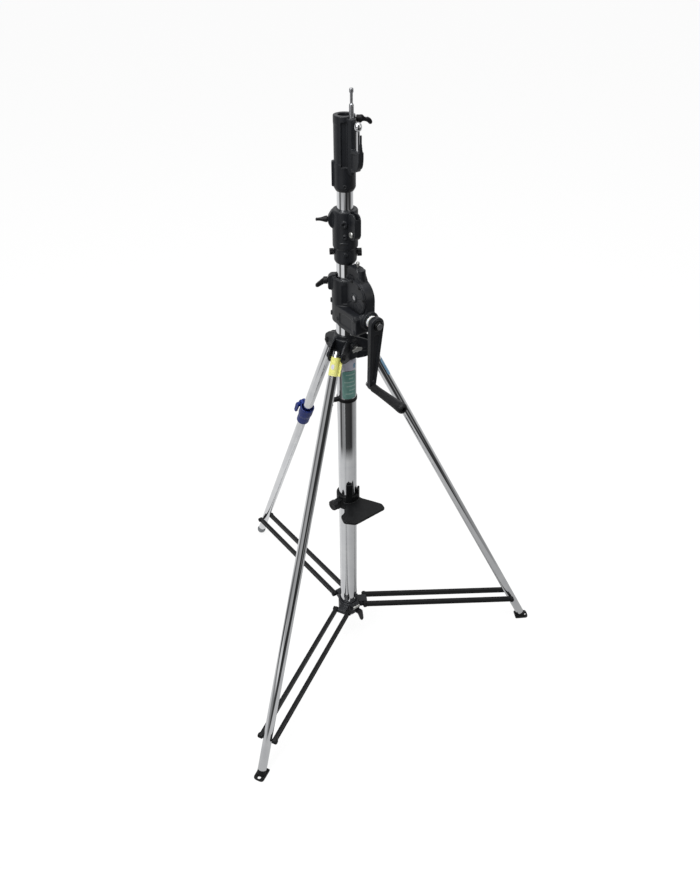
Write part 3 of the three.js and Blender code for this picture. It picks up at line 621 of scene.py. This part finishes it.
def riser_collar_fittings():
    groove = [(3.3, -4), (12, -4), (12, -2.6), (9, 0, 2), (12, 2.6), (12, 4), (3.3, 4)]
    pulley = lathe(groove, PULLEY, 0.4)
    show("look_cable_pulley", pulley, CRANK, "cable_pulley", "white_nylon", "cable_pulley")
    head = [(0, -12.5), (6, -12.5, 1.5), (7.5, -10.5), (7.5, -9.3), (2.9, -9.3), (2.9, 9), (0, 9)]
    screw = shaped([lathe(head, PULLEY, 0.3)], [rod(2.6, -14, -11, PULLEY, 0, 6)])
    show("look_pulley_screw", screw, CRANK, "riser_1", "zinc", "pulley_screw")
    handle = [(0, 40.4), (7.5, 40.4), (7.5, 45, 3), (4, 56, 4), (3.4, 64, 2), (4, 67, 1.5), (0, 68.5)]
    lever = shaped([rod(SCREW_R, 26, 44, RISER_LOCK), lathe(handle, RISER_LOCK, 1)], voxel=0.5)
    show("look_riser_collar_lock", lever, CRANK, "riser_collar_lock", "black_plastic", "riser_collar_lock")
    knob("riser_collar_knob", RISER_KNOB, 24.5, 27.8, 38, 10, 8)
    knob("riser_collar_screw", RISER_SCREW, 24.5, 27.8, 37.5, 8, 8)


def knob(name, place, screw, low, high, r, lobes):
    """A lobed hand knob on its screw, pointing along the place's local Z."""
    adds = [
        rod(SCREW_R, screw, low + 2, place),
        prism(circle(r, steps=64, lobes=lobes, depth=r * 0.12), low, high, "Z", place, edge=1.4),
    ]
    dish = lathe([(0, high - 1.2), (r * 0.45, high - 0.9), (r * 0.6, high + 2), (0, high + 2)], place, 0.5)
    show("look_" + name, shaped(adds, [dish]), CRANK, name, "black_plastic", name)


# ---------------------------------------------------------------- head
SPIGOT_U = 27
SAFETY_PIN_U = 51
HEAD_WING = radial(65, 1608)


def head():
    low, top = 1456, 1619
    profile = [
        (0, low), (20.5, low), (25, low + 8, 2), (25, low + 60), (24, low + 64), (24, top - 18),
        (24.6, top - 17), (24.6, top - 1), (23.8, top), (0, top),
    ]
    hook = [
        (26, 1502), (50, 1508, 6), (60, 1520, 6), (62.5, 1534, 5), (62.5, 1588, 1), (58.5, 1588, 1),
        (58.5, 1553), (26, 1553),
    ]
    rib = [(-29.5, 1466, 3), (-20, 1466), (-20, 1522), (-29.5, 1522, 3)]
    adds = [
        lathe(profile, corner=0.8, steps=96),
        lathe([(0, 1496), (6, 1496), (10, 1510, 4), (10, top - 4, 1), (0, top - 4)], move(SPIGOT_U)),
        prism(hook, -7, 7, "Y", corner=2, edge=1.5),
        prism(rib, -6, 6, "Y", turn(55), 2, 2),
        rod(4, 22, 26.2, radial(FRONT_SIDE, 1470), 0.8),
    ]
    cuts = [
        rod(19.05, low - 1, 1478.3),
        rod(14.3, 1486, top + 1),
        rod(8, 1477, 1488),
        rod(5.6, 1585, top + 1, move(SPIGOT_U)),
        rod(4.4, 1520, 1560, move(SAFETY_PIN_U)),
        rod(SCREW_HOLE_R, 10, 40, HEAD_WING),
        block((20.5, 30), (-7.5, 7.5), (1512, 1607), turn(FRONT_SIDE), 3, 1),
        rod(2.2, 24, 30, radial(FRONT_SIDE, 1470)),
    ]
    # the hook is hollowed on both sides, and its outer arm is narrowed
    for low_y, high_y in ((-9, -4.8), (4.8, 9)):
        cuts.append(block((36, 56), (low_y, high_y), (1512, 1545), HERE, 3, 0))
    for hand in (-1, 1):
        beside = [
            (12 * hand, 1552), (4.5 * hand, 1552), (2 * hand, 1572), (2 * hand, 1600), (12 * hand, 1600),
        ]
        cuts.append(prism(beside, 56, 70, "X", corner=2, edge=0))
    body = shaped(adds, cuts, voxel=0.8)
    show("look_head_casting", body, CRANK, "riser_2", "black_casting", "head_casting")
    head_fittings()


def head_fittings():
    stud = [
        (0, 1587), (5.2, 1587), (5.2, 1641), (4.8, 1644), (3.1, 1646), (3.1, 1666), (4.6, 1668),
        (4.6, 1674), (3.6, 1676), (0, 1676),
    ]
    spigot = lathe(stud, corner=0.5)
    show("look_head_spigot", spigot, CRANK @ move(SPIGOT_U), "riser_2", "steel", "head_spigot")
    profile = [
        (0, 1524), (3.2, 1524), (4, 1526), (4, 1594, 2), (7.5, 1597, 2), (9, 1603, 4), (7, 1610, 3),
        (2, 1612.5, 2), (0, 1612.5),
    ]
    pin = lathe(profile, corner=1)
    show("look_safety_pin", pin, CRANK @ move(SAFETY_PIN_U), "safety_pin", "chrome", "safety_pin")
    wing = [
        (34, 1602), (42, 1604, 3), (49, 1602, 3), (55, 1596, 2), (61, 1598, 3), (60, 1606, 4), (52, 1611, 3),
        (46, 1609, 3), (41, 1616, 3), (34, 1616),
    ]
    adds = [
        rod(SCREW_R, 16.5, 30, HEAD_WING),
        lathe([(0, 27), (9, 27), (8, 38, 2), (0, 38)], HEAD_WING, 1),
        prism(wing, -5, 5, "Y", turn(65), 2, 2),
    ]
    screw = shaped(adds, voxel=0.6)
    show("look_head_wing_screw", screw, CRANK, "head_wing_screw", "black_plastic", "head_wing_screw")


# ---------------------------------------------------------------- leg collar, legs and feet
def wing_bolt(name, radius, z, finish, size):
    """A wing bolt that points at the crank side."""
    wing = [(0, -5), (7, -6, 2), (17, -8, 4), (19, 2, 4), (8, 6, 3), (0, 5)]
    place = radial(0, z)
    adds = [
        rod(SCREW_R, radius - 6, radius + 2, place),
        rod(8.5 * size, radius + 0.3, radius + 14 * size, place, 1.5),
    ]
    for hand in (-1, 1):
        outline = [(hand * y * size, z + w * size, *[c * size for c in rest]) for y, w, *rest in wing]
        adds.append(prism(outline, radius + 8.4 * size, radius + 14 * size, "X", edge=1.6 * size))
    show("look_" + name, shaped(adds, voxel=0.5), CRANK, name, finish, name)


def leg_collar():
    z = PIVOT_HEIGHT
    wing_z = z + 12
    sleeve = [(0, z - 23), (33, z - 23, 2), (33, z + 30, 3), (30, z + 31), (30, z + 42, 2), (0, z + 42)]
    cheek = [
        (24, z - 26), (48, z - 22, 6), (66, z - 14, 7), (69, z, 6), (66, z + 14, 4), (50, z + 27, 4),
        (24, z + 36),
    ]
    rib = [(24, z - 4), (58, z - 3, 2), (58, z + 3, 2), (24, z + 6)]
    adds = [
        lathe(sleeve, steps=96),
        rod(11, 20, 38, radial(0, wing_z), 1.5),
    ]
    cuts = [rod(25.8, 1000, 1130), rod(SCREW_HOLE_R, 20, 50, radial(0, wing_z))]
    for degrees in COLLAR_TURNS:
        clevis = turn(degrees)
        for low in (-20.4, 15.2):
            adds.append(prism(cheek, low, low + 5.2, "Y", clevis, 2, 1))
            outside = (low - 1.3, low + 1) if low < 0 else (low + 4.2, low + 6.5)
            adds.append(prism(rib, *outside, "Y", clevis, 1, 0.6))
        cuts.append(rod(SCREW_HOLE_R, -30, 30, clevis @ LEG_PIVOT @ ALONG_Y))
    body = shaped(adds, cuts, voxel=0.9)
    show("look_leg_collar", body, CRANK, "column", "black_casting", "leg_collar")
    wing_bolt("leg_collar_wing_bolt", 38, wing_z, "zinc", 0.8)


def cross_bolt(name, body, place, reach, head):
    """A bolt across a clevis: a hex head on one side and a turned nut on the other."""
    across = place @ ALONG_Y
    near, far = reach + 0.3, reach + head
    nut = [(0, near), (7, near), (7, reach + 2.6), (4.4, far, 1.4), (0, far)]
    bolt = [
        rod(SCREW_R, -reach - 2, reach + 2, across),
        hexagon(7, -far, -near, across),
        lathe(nut, across, 0.6),
    ]
    show("look_" + name, shaped(bolt), HERE, body, "black_steel", name)


def leg_top(name, bore_r, rim_r, dome_r):
    """The cap in the top of a leg's tube, and the bolt that the leg turns on."""
    body = name + "_leg"
    rim = [(rim_r, 12), (rim_r, 13.6, 1), (dome_r, 15.4, 1), (0, 15.4)]
    cap = lathe([(0, 8), (bore_r, 8), (bore_r, 12), *rim])
    show(body + "_cap", cap, leg_place(name), body, "black_plastic")
    cross_bolt(body + "_bolt", "column", side(name) @ LEG_PIVOT, 20.4, 5)


def plain_leg(name):
    body = name + "_leg"
    show("look_" + body, pipe(12.5, 11, -1158, 12), leg_place(name), body, "chrome", body + "_tube")
    leg_top(name, 10.9, 12.4, 9)
    x = PIVOT_RADIUS + math.sin(math.radians(LEG_ANGLE)) * 1166
    sole = [(x - 18, -15.5, 3), (x + 24, -15.5, 9), (x + 24, 15.5, 9), (x - 18, 15.5, 3)]
    gusset = [(x - 12, 1), (x + 8, 1), (x - 2, 30, 4), (x - 14, 34, 4), (x - 16, 20, 3)]
    adds = [prism(sole, 0, 5, "Z", edge=1)]
    for r, top in ((10.7, -1128), (12.5, -1158.3)):
        ground = block((400, 700), (-50, 50), (-50, 1), edge=0)
        adds.append(shaped([rod(r, -1176, top, LEG_LINE)], [ground]))
    for near in (-6.5, 3.5):
        adds.append(prism(gusset, near, near + 3, "Y", edge=0.6))
    foot = shaped(adds, [rod(5, -2, 8, move(x + 15))], voxel=0.6, soften=2)
    show("look_" + name + "_foot", foot, side(name), body, "black_steel", name + "_foot")


FOOT_BALL_R = 14.7


def levelling_leg():
    place = leg_place("levelling")
    outer = pipe(14, 12.8, -372, 12)
    show("look_levelling_outer", outer, place, "levelling_leg", "chrome", "levelling_outer_tube")
    inner = pipe(12.5, 11, -1142, -20)
    show("look_levelling_inner", inner, place, "levelling_inner", "chrome", "levelling_inner_tube")
    leg_top("levelling", 12.7, 13.9, 10)
    middle = -(PIVOT_HEIGHT - 15) / math.cos(math.radians(LEG_ANGLE))
    ball = []
    for degrees in range(-81, 54, 9):
        a = math.radians(degrees)
        ball.append((FOOT_BALL_R * math.cos(a), middle + FOOT_BALL_R * math.sin(a), 0))
    neck = [(9, -1138, 1), (10.7, -1137), (10.7, -1112), (0, -1112)]
    foot = lathe([(0, middle - FOOT_BALL_R), *ball, *neck], corner=0.4)
    show("look_levelling_foot", foot, place, "levelling_inner", "grey_rubber", "levelling_foot")
    levelling_clamp(place)


def levelling_clamp(place):
    """A cup round the tubes, split on its outer side, with a small lever that lies along it."""
    low, top = -396, -326
    hinge_x, hinge_z = 26, top - 15
    hinge = move(hinge_x, 0, hinge_z) @ ALONG_Y
    cup = [
        (0, low), (17.5, low), (18.5, low + 2), (18.5, low + 30, 6), (20.5, low + 38, 6), (20.5, top, 1.5),
        (0, top),
    ]
    ear = [
        (12, top - 26, 4), (28, top - 26, 6), (33, top - 19, 6), (33, top - 5, 6), (28, top, 5),
        (12, top, 2),
    ]
    adds = [
        lathe(cup, corner=1, steps=72),
        prism(ear, -8, 8, "Y", corner=2, edge=1.5),
    ]
    cuts = [
        rod(14.3, -372.3, top + 1),
        rod(12.8, low - 1, -372),
        rod(17.6, top - 14, top + 1, corner=2),
        block((10, 40), (-1.5, 1.5), (low - 1, top + 1), edge=0),
        rod(SCREW_HOLE_R, -20, 20, hinge),
    ]
    clamp = shaped(adds, cuts, voxel=0.6, soften=3)
    show("look_levelling_clamp", clamp, place, "levelling_leg", "blue_plastic", "levelling_clamp")
    arm = taper((hinge_x, hinge_z, 6.5), (hinge_x, hinge_z - 30, 5))
    adds = [
        rod(SCREW_R, -11, 15, hinge),
        rod(6.5, 8.4, 16, hinge, 1.2),
        hexagon(6.5, -13, -8.4, hinge),
        prism(arm, 12, 18, "Y", edge=1.8),
    ]
    name = "levelling_clamp_lever"
    show("look_" + name, shaped(adds, voxel=0.5), place, name, "blue_plastic", name)


# ---------------------------------------------------------------- lower collar and braces
BRACE_INNER = (50, 130)  # the pivot on the collar: how far from the column axis, and how high
BRACE_OUTER = (528.5, 103)  # the same for the pivot on the leg
LOWER_LOCK_SIDE = 15
LOWER_LOCK_Z = 108


def lower_collar():
    radius, z = BRACE_INNER
    lock = radial(LOWER_LOCK_SIDE, LOWER_LOCK_Z)
    clamp_pin = move(38.6, 0, 134) @ ALONG_Y
    lug = [
        (24, z - 16), (44, z - 16, 6), (radius + 8, z - 6, 7), (radius + 8, z + 6, 6), (radius, z + 8, 3),
        (24, z + 8),
    ]
    adds = [
        lathe([(0, 100), (33, 100, 3), (33, 142, 3), (0, 142)], steps=96),
        block((28, 40.1), (-15, 15), (122, 142), corner=2, edge=1.5),
        rod(9.5, 24, 38, lock, 1.2),
    ]
    cuts = [
        rod(26, 0, 300),
        rod(5.8, -12.3, 12.3, clamp_pin),
        rod(SCREW_HOLE_R, 20, 50, lock),
    ]
    for degrees in COLLAR_TURNS:
        adds.append(prism(lug, -14, 14, "Y", turn(degrees), 2, 1.2))
        cuts.append(rod(SCREW_HOLE_R, -30, 30, turn(degrees) @ move(radius, 0, z) @ ALONG_Y))
    body = shaped(adds, cuts, voxel=0.8)
    show("look_lower_collar", body, CRANK, "lower_collar", "black_casting", "lower_collar")
    pin = rod(5.5, -12, 12, clamp_pin, 1.2)
    show("look_lower_collar_pin", pin, CRANK, "lower_collar", "zinc", "lower_collar_pin")
    arm = taper((0, LOWER_LOCK_Z, 9), (9, LOWER_LOCK_Z - 38, 5.5))
    adds = [
        rod(SCREW_R, 32, 40, lock),
        rod(9, 38.3, 50, lock, 2),
        prism(arm, 43, 50, "X", turn(LOWER_LOCK_SIDE), edge=2),
    ]
    lever = shaped(adds, voxel=0.6)
    show("look_lower_collar_lock", lever, CRANK, "lower_collar_lock", "black_plastic", "lower_collar_lock")


def braces(name):
    place = side(name)
    outline = taper((*BRACE_INNER, 7.5), (*BRACE_OUTER, 7.5))
    groove = taper((66, 129.1, 3.4), (512, 103.9, 3.4))
    for hand, letter in ((1, "a"), (-1, "b")):
        near = hand * 20.5 - 5
        face = (near + 9, near + 12) if hand > 0 else (near - 2, near + 1)
        out = ALONG_Y if hand > 0 else turn(90, "X")
        inner, outer = (move(u, 0, z) @ out for u, z in (BRACE_INNER, BRACE_OUTER))
        bar = prism(outline, near, near + 10, "Y", edge=1.2)
        adds = [
            shaped([bar], [prism(groove, *face, "Y", edge=0.4)]),
            rod(SCREW_R, 13, 17, outer),
            lathe([(0, 25), (7.5, 25), (7.5, 27.5), (5, 30, 1.5), (0, 30)], outer, 0.6),
            lathe([(0, 24.9), (7, 24.9), (7, 26.2, 0.8), (0, 26.2)], inner, 0.4),
        ]
        made = shaped(adds, [rod(SCREW_HOLE_R, 14, 28, inner)])
        node = name + "_brace_" + letter
        show("look_" + node, made, place, name + "_brace", "black_steel", node)
    pivot = place @ move(BRACE_INNER[0], 0, BRACE_INNER[1])
    cross_bolt(name + "_brace_bolt", "lower_collar", pivot, 26.5, 3.5)


# ---------------------------------------------------------------- fittings on the base tube
def catch_bracket():
    z = 556
    knob_side = 277
    knob_place = radial(knob_side, z + 4)
    fan = [
        (10, -26), (30, -34), (54, -50, 5), (60, -66, 4), (86, -74, 5), (110, -50, 5), (104, 56, 5),
        (84, 60, 5), (56, 44, 5), (30, 28), (10, 24),
    ]
    adds = [
        lathe([(0, z - 18), (32.5, z - 18, 1), (32.5, z + 26, 1), (0, z + 26)], steps=96),
        prism(fan, z, z + 7, "Z", corner=3, edge=1.2),
    ]
    for degrees, high in ((-27, 628), (45, 600)):
        finger = [(-9, z), (9, z), (9, high, 3), (-9, high, 3)]
        adds.append(prism(finger, 27, 33, "X", turn(degrees), 1, 1))
    adds.append(block((24, 46), (-8, 8), (z - 13, z + 16), turn(knob_side), 2, 1.5))
    cuts = [rod(25.8, 400, 700), rod(SCREW_HOLE_R, 26, 60, knob_place)]
    body = shaped(adds, cuts, voxel=0.9, soften=3)
    show("look_catch_bracket", body, CRANK, "column", "black_steel", "catch_bracket")
    knob("catch_bracket_knob", knob_place, 27, 46.4, 60, 15.5, 6)


def stop_clip():
    z = 905
    screw_side = 260
    screw = radial(screw_side, z)
    adds = [
        lathe([(0, z - 5), (27.4, z - 5, 1), (27.4, z + 5, 1), (0, z + 5)], steps=96),
        rod(7, 20, 36, screw, 1),
    ]
    clip = shaped(adds, [rod(25.8, z - 20, z + 20), rod(SCREW_HOLE_R, 20, 40, screw)], voxel=0.7, soften=3)
    show("look_stop_clip", clip, CRANK, "column", "black_steel", "stop_clip")
    bar = [(0, -17), (4, -17, 2), (3.4, -8, 4), (4.2, 0, 4), (3.4, 8, 4), (4, 17, 2), (0, 17)]
    adds = [
        rod(SCREW_R, 27, 42, screw),
        rod(6.5, 36.4, 46, screw, 1.5),
        lathe(bar, turn(screw_side) @ move(44, 0, z)),
    ]
    handle = shaped(adds, voxel=0.5)
    show("look_stop_clip_screw", handle, CRANK, "stop_clip_screw", "black_plastic", "stop_clip_screw")


# ---------------------------------------------------------------- CAD pieces that keep their shape
def kept_nodes():
    """The rack, gears, axle and bushes keep their CAD shape, with their edges broken."""
    for node, finish in {
        "riser_1_rack": "steel",
        "drive_gear": "bronze",
        "worm_shaft": "steel",
        "gear_axle": "steel",
        "riser_1_bush": "white_nylon",
        "riser_2_bush": "white_nylon",
    }.items():
        kept = frame["nodes"][node]
        kept.data.materials.clear()
        kept.data.materials.append(MATERIALS[finish])
        weld = kept.modifiers.new("weld", "WELD")
        weld.merge_threshold = 1e-5
        bevel = kept.modifiers.new("bevel", "BEVEL")
        bevel.width = 0.25 * MM
        bevel.limit_method = "ANGLE"
        bevel.angle_limit = math.radians(30)
        bevel.segments = 2


# ---------------------------------------------------------------- studio
VIEW_HEADING = 4.95  # clockwise from +Y
VIEW_PITCH = 35.49
VIEW_ROLL = -0.418
CAMERA_PLACE = (-0.2915, -1.7790, 2.0543)
LENS_MM = 33.22


def camera():
    heading, pitch, roll = (math.radians(a) for a in (VIEW_HEADING, VIEW_PITCH, VIEW_ROLL))
    ahead = Vector((math.sin(heading), math.cos(heading), 0))
    forward = ahead * math.cos(pitch) - Vector((0, 0, math.sin(pitch)))
    level = Vector((math.cos(heading), -math.sin(heading), 0))
    upright = level.cross(forward)
    right = level * math.cos(roll) + upright * math.sin(roll)
    up = upright * math.cos(roll) - level * math.sin(roll)
    data = bpy.data.cameras.new("camera")
    data.lens = LENS_MM
    data.sensor_width = 36
    data.clip_start = 0.05
    data.clip_end = 100
    made = bpy.data.objects.new("camera", data)
    bpy.context.scene.collection.objects.link(made)
    place = Matrix((right, up, -forward)).transposed().to_4x4()
    place.translation = CAMERA_PLACE
    made.matrix_world = place
    bpy.context.scene.camera = made


def softbox(name, azimuth, elevation, distance, size, power, colour=(1, 1, 1)):
    """A flat light that points at the middle of the stand, azimuth clockwise from the camera."""
    target = Vector((-0.145, 0, 0.85))
    a, e = math.radians(180 + VIEW_HEADING - azimuth), math.radians(elevation)
    way = Vector((math.sin(a) * math.cos(e), math.cos(a) * math.cos(e), math.sin(e)))
    data = bpy.data.lights.new(name, "AREA")
    data.shape = "RECTANGLE"
    data.size, data.size_y = size
    data.energy = power
    data.color = colour
    made = bpy.data.objects.new(name, data)
    bpy.context.scene.collection.objects.link(made)
    made.location = target + way * distance
    made.rotation_mode = "QUATERNION"
    made.rotation_quaternion = (-way).to_track_quat("-Z", "Y")
    made.visible_camera = False


# Painted reflections: what the chrome reflects, by angle clockwise from the camera's side: (degrees,
# brightness).
# Each ring is painted light and dark on the floor from one radius to the next, and the last one goes on
# round the horizon.
NEAR_RING = [
    (-180, 0.72), (-120, 0.78), (-100, 0.66), (-57, 0.66), (-42, 0.62), (-29, 0.54), (-16, 0.53), (-3, 0.57),
    (20, 0.5), (60, 0.45), (110, 0.42), (180, 0.6),
]
MIDDLE_RING = [
    (-180, 0.74), (-100, 0.72), (-88, 0.3), (-76, 0.06), (-66, 0.06), (-58, 0.3), (-32, 0.28), (-18, 0.05),
    (5, 0.045), (50, 0.03), (58, 0.05), (74, 0.26), (120, 0.34), (140, 0.6), (180, 0.7),
]
FAR_RING = [
    (-180, 0.8), (-86, 0.8), (-80, 0.1), (-60, 0.1), (-54, 0.75), (-20, 0.8), (-14, 0.02), (30, 0.02),
    (38, 0.25), (50, 0.2), (54, 0.04), (80, 0.05), (95, 0.45), (180, 0.8),
]
HORIZON_RING = [
    (-180, 0.8), (-100, 0.6), (-88, 0.3), (-80, 0.15), (-60, 0.15), (-50, 0.34), (-20, 0.42), (2, 0.4),
    (8, 0.03), (50, 0.03), (80, 0.05), (95, 0.45), (180, 0.8),
]
FLOOR_RINGS = [(0.98, 1.1, MIDDLE_RING), (1.9, 2.7, FAR_RING), (5, 8, HORIZON_RING)]
FLOOR_GLOW = 1.06
FLOOR_GLOW_SHARE = 0.84


def ring(nodes, links, x, y, stops):
    """The brightness in the direction of x to the right of the camera and y away from it."""
    angle = math_node(nodes, links, "ARCTAN2", x, math_node(nodes, links, "MULTIPLY", y, -1))
    ramp = nodes.new("ShaderNodeValToRGB")
    links.new(spread(nodes, links, angle, 0, 1, -math.pi, math.pi), ramp.inputs["Fac"])
    elements = ramp.color_ramp.elements
    while len(elements) < len(stops):
        elements.new(0.5)
    for element, (degrees, value) in zip(elements, stops):
        element.position = (degrees + 180) / 360
        element.color = (value, value, value, 1)
    return ramp.outputs["Color"]


def separated(nodes, links, output):
    made = nodes.new("ShaderNodeSeparateXYZ")
    links.new(nodes.new("ShaderNodeTexCoord").outputs[output], made.inputs["Vector"])
    return [made.outputs[axis] for axis in "XYZ"]


def painted_reflection_floor(nodes, links):
    """A painted reflection: a glowing pale sheet and dark gaps round it, which only reflected rays see,
    painting the chrome's bands.
    """
    x, y, _ = separated(nodes, links, "Object")
    squares = [math_node(nodes, links, "POWER", math_node(nodes, links, "ABSOLUTE", v), 2) for v in (x, y)]
    radius = math_node(nodes, links, "SQRT", math_node(nodes, links, "ADD", *squares))
    painted_reflection_light = ring(nodes, links, x, y, NEAR_RING)
    for start, end, stops in FLOOR_RINGS:
        beyond = spread(nodes, links, radius, 0, 1, start, end)
        painted_reflection_light = mixed(nodes, links, beyond, painted_reflection_light, ring(nodes, links, x, y, stops))
    made = nodes.new("ShaderNodeEmission")
    links.new(painted_reflection_light, made.inputs["Color"])
    return made.outputs["Emission"]


def either(nodes, links, share, first, second):
    """A shader between two, where share is a number or an output."""
    made = nodes.new("ShaderNodeMixShader")
    if isinstance(share, bpy.types.NodeSocket):
        links.new(share, made.inputs["Fac"])
    else:
        made.inputs["Fac"].default_value = share
    links.new(first, made.inputs[1])
    links.new(second, made.inputs[2])
    return made.outputs["Shader"]


def seen_floor(nodes, links):
    """Pale paper, lit from below so that it stays pale and keeps a faint shadow."""
    paper, glow = nodes.new("ShaderNodeBsdfDiffuse"), nodes.new("ShaderNodeEmission")
    paper.inputs["Color"].default_value = (0.9, 0.9, 0.9, 1)
    glow.inputs["Color"].default_value = (1, 1, 1, 1)
    glow.inputs["Strength"].default_value = FLOOR_GLOW
    return either(nodes, links, FLOOR_GLOW_SHARE, paper.outputs["BSDF"], glow.outputs["Emission"])


def floor():
    bm = bmesh.new()
    bmesh.ops.create_grid(bm, x_segments=1, y_segments=1, size=60)
    mesh = bpy.data.meshes.new("floor")
    bm.to_mesh(mesh)
    bm.free()
    made = linked(mesh)
    made.name = "floor"
    made.matrix_world = COLUMN @ turn(-VIEW_HEADING)
    mat = bpy.data.materials.new("floor")
    mat.use_nodes = True
    nodes, links = mat.node_tree.nodes, mat.node_tree.links
    nodes.remove(nodes["Principled BSDF"])
    # the camera sees pale paper, and every other ray sees the painted reflection rings
    is_seen = nodes.new("ShaderNodeLightPath").outputs["Is Camera Ray"]
    finish = either(nodes, links, is_seen, painted_reflection_floor(nodes, links), seen_floor(nodes, links))
    links.new(finish, nodes["Material Output"].inputs["Surface"])
    mesh.materials.append(mat)


def world():
    """White to the camera. To the stand, a painted reflection: the horizon's dark and light bands, and a
    soft ceiling overhead.
    """
    made = bpy.data.worlds.new("studio")
    bpy.context.scene.world = made
    made.use_nodes = True
    nodes, links = made.node_tree.nodes, made.node_tree.links
    turned = nodes.new("ShaderNodeMapping")
    turned.inputs["Rotation"].default_value = (0, 0, math.radians(VIEW_HEADING))
    links.new(nodes.new("ShaderNodeTexCoord").outputs["Generated"], turned.inputs["Vector"])
    way = nodes.new("ShaderNodeSeparateXYZ")
    links.new(turned.outputs["Vector"], way.inputs["Vector"])
    overhead = spread(nodes, links, way.outputs["Z"], 0, 1, 0.5, 0.85)
    # painted reflection: dark and light bands round the horizon, which the camera never sees
    around = ring(nodes, links, way.outputs["X"], way.outputs["Y"], HORIZON_RING)
    painted_surroundings = mixed(nodes, links, overhead, around, (0.6, 0.6, 0.6))
    seen = nodes.new("ShaderNodeLightPath").outputs["Is Camera Ray"]
    links.new(mixed(nodes, links, seen, painted_surroundings, (1.0, 1.0, 1.0)), nodes["Background"].inputs["Color"])


def studio():
    bpy.context.scene.view_settings.view_transform = "Standard"
    camera()
    floor()
    world()
    softbox("key", -38, 48, distance=2.8, size=(0.8, 1.9), power=34)
    softbox("fill", 60, 25, distance=2.8, size=(0.6, 1.6), power=8, colour=(1, 0.98, 0.94))
    # far enough up to stay clear of the head when both risers are raised
    softbox("top", 0, 82, distance=4.6, size=(3.54, 3.54), power=125)


column_tubes()
labels()
gear_housing()
gear_cover()
gearbox_lock_lever()
crank()
riser_collar()
head()
leg_collar()
plain_leg("right")
plain_leg("front")
levelling_leg()
lower_collar()
for leg in LEG_TURNS:
    braces(leg)
catch_bracket()
stop_clip()
kept_nodes()
studio()
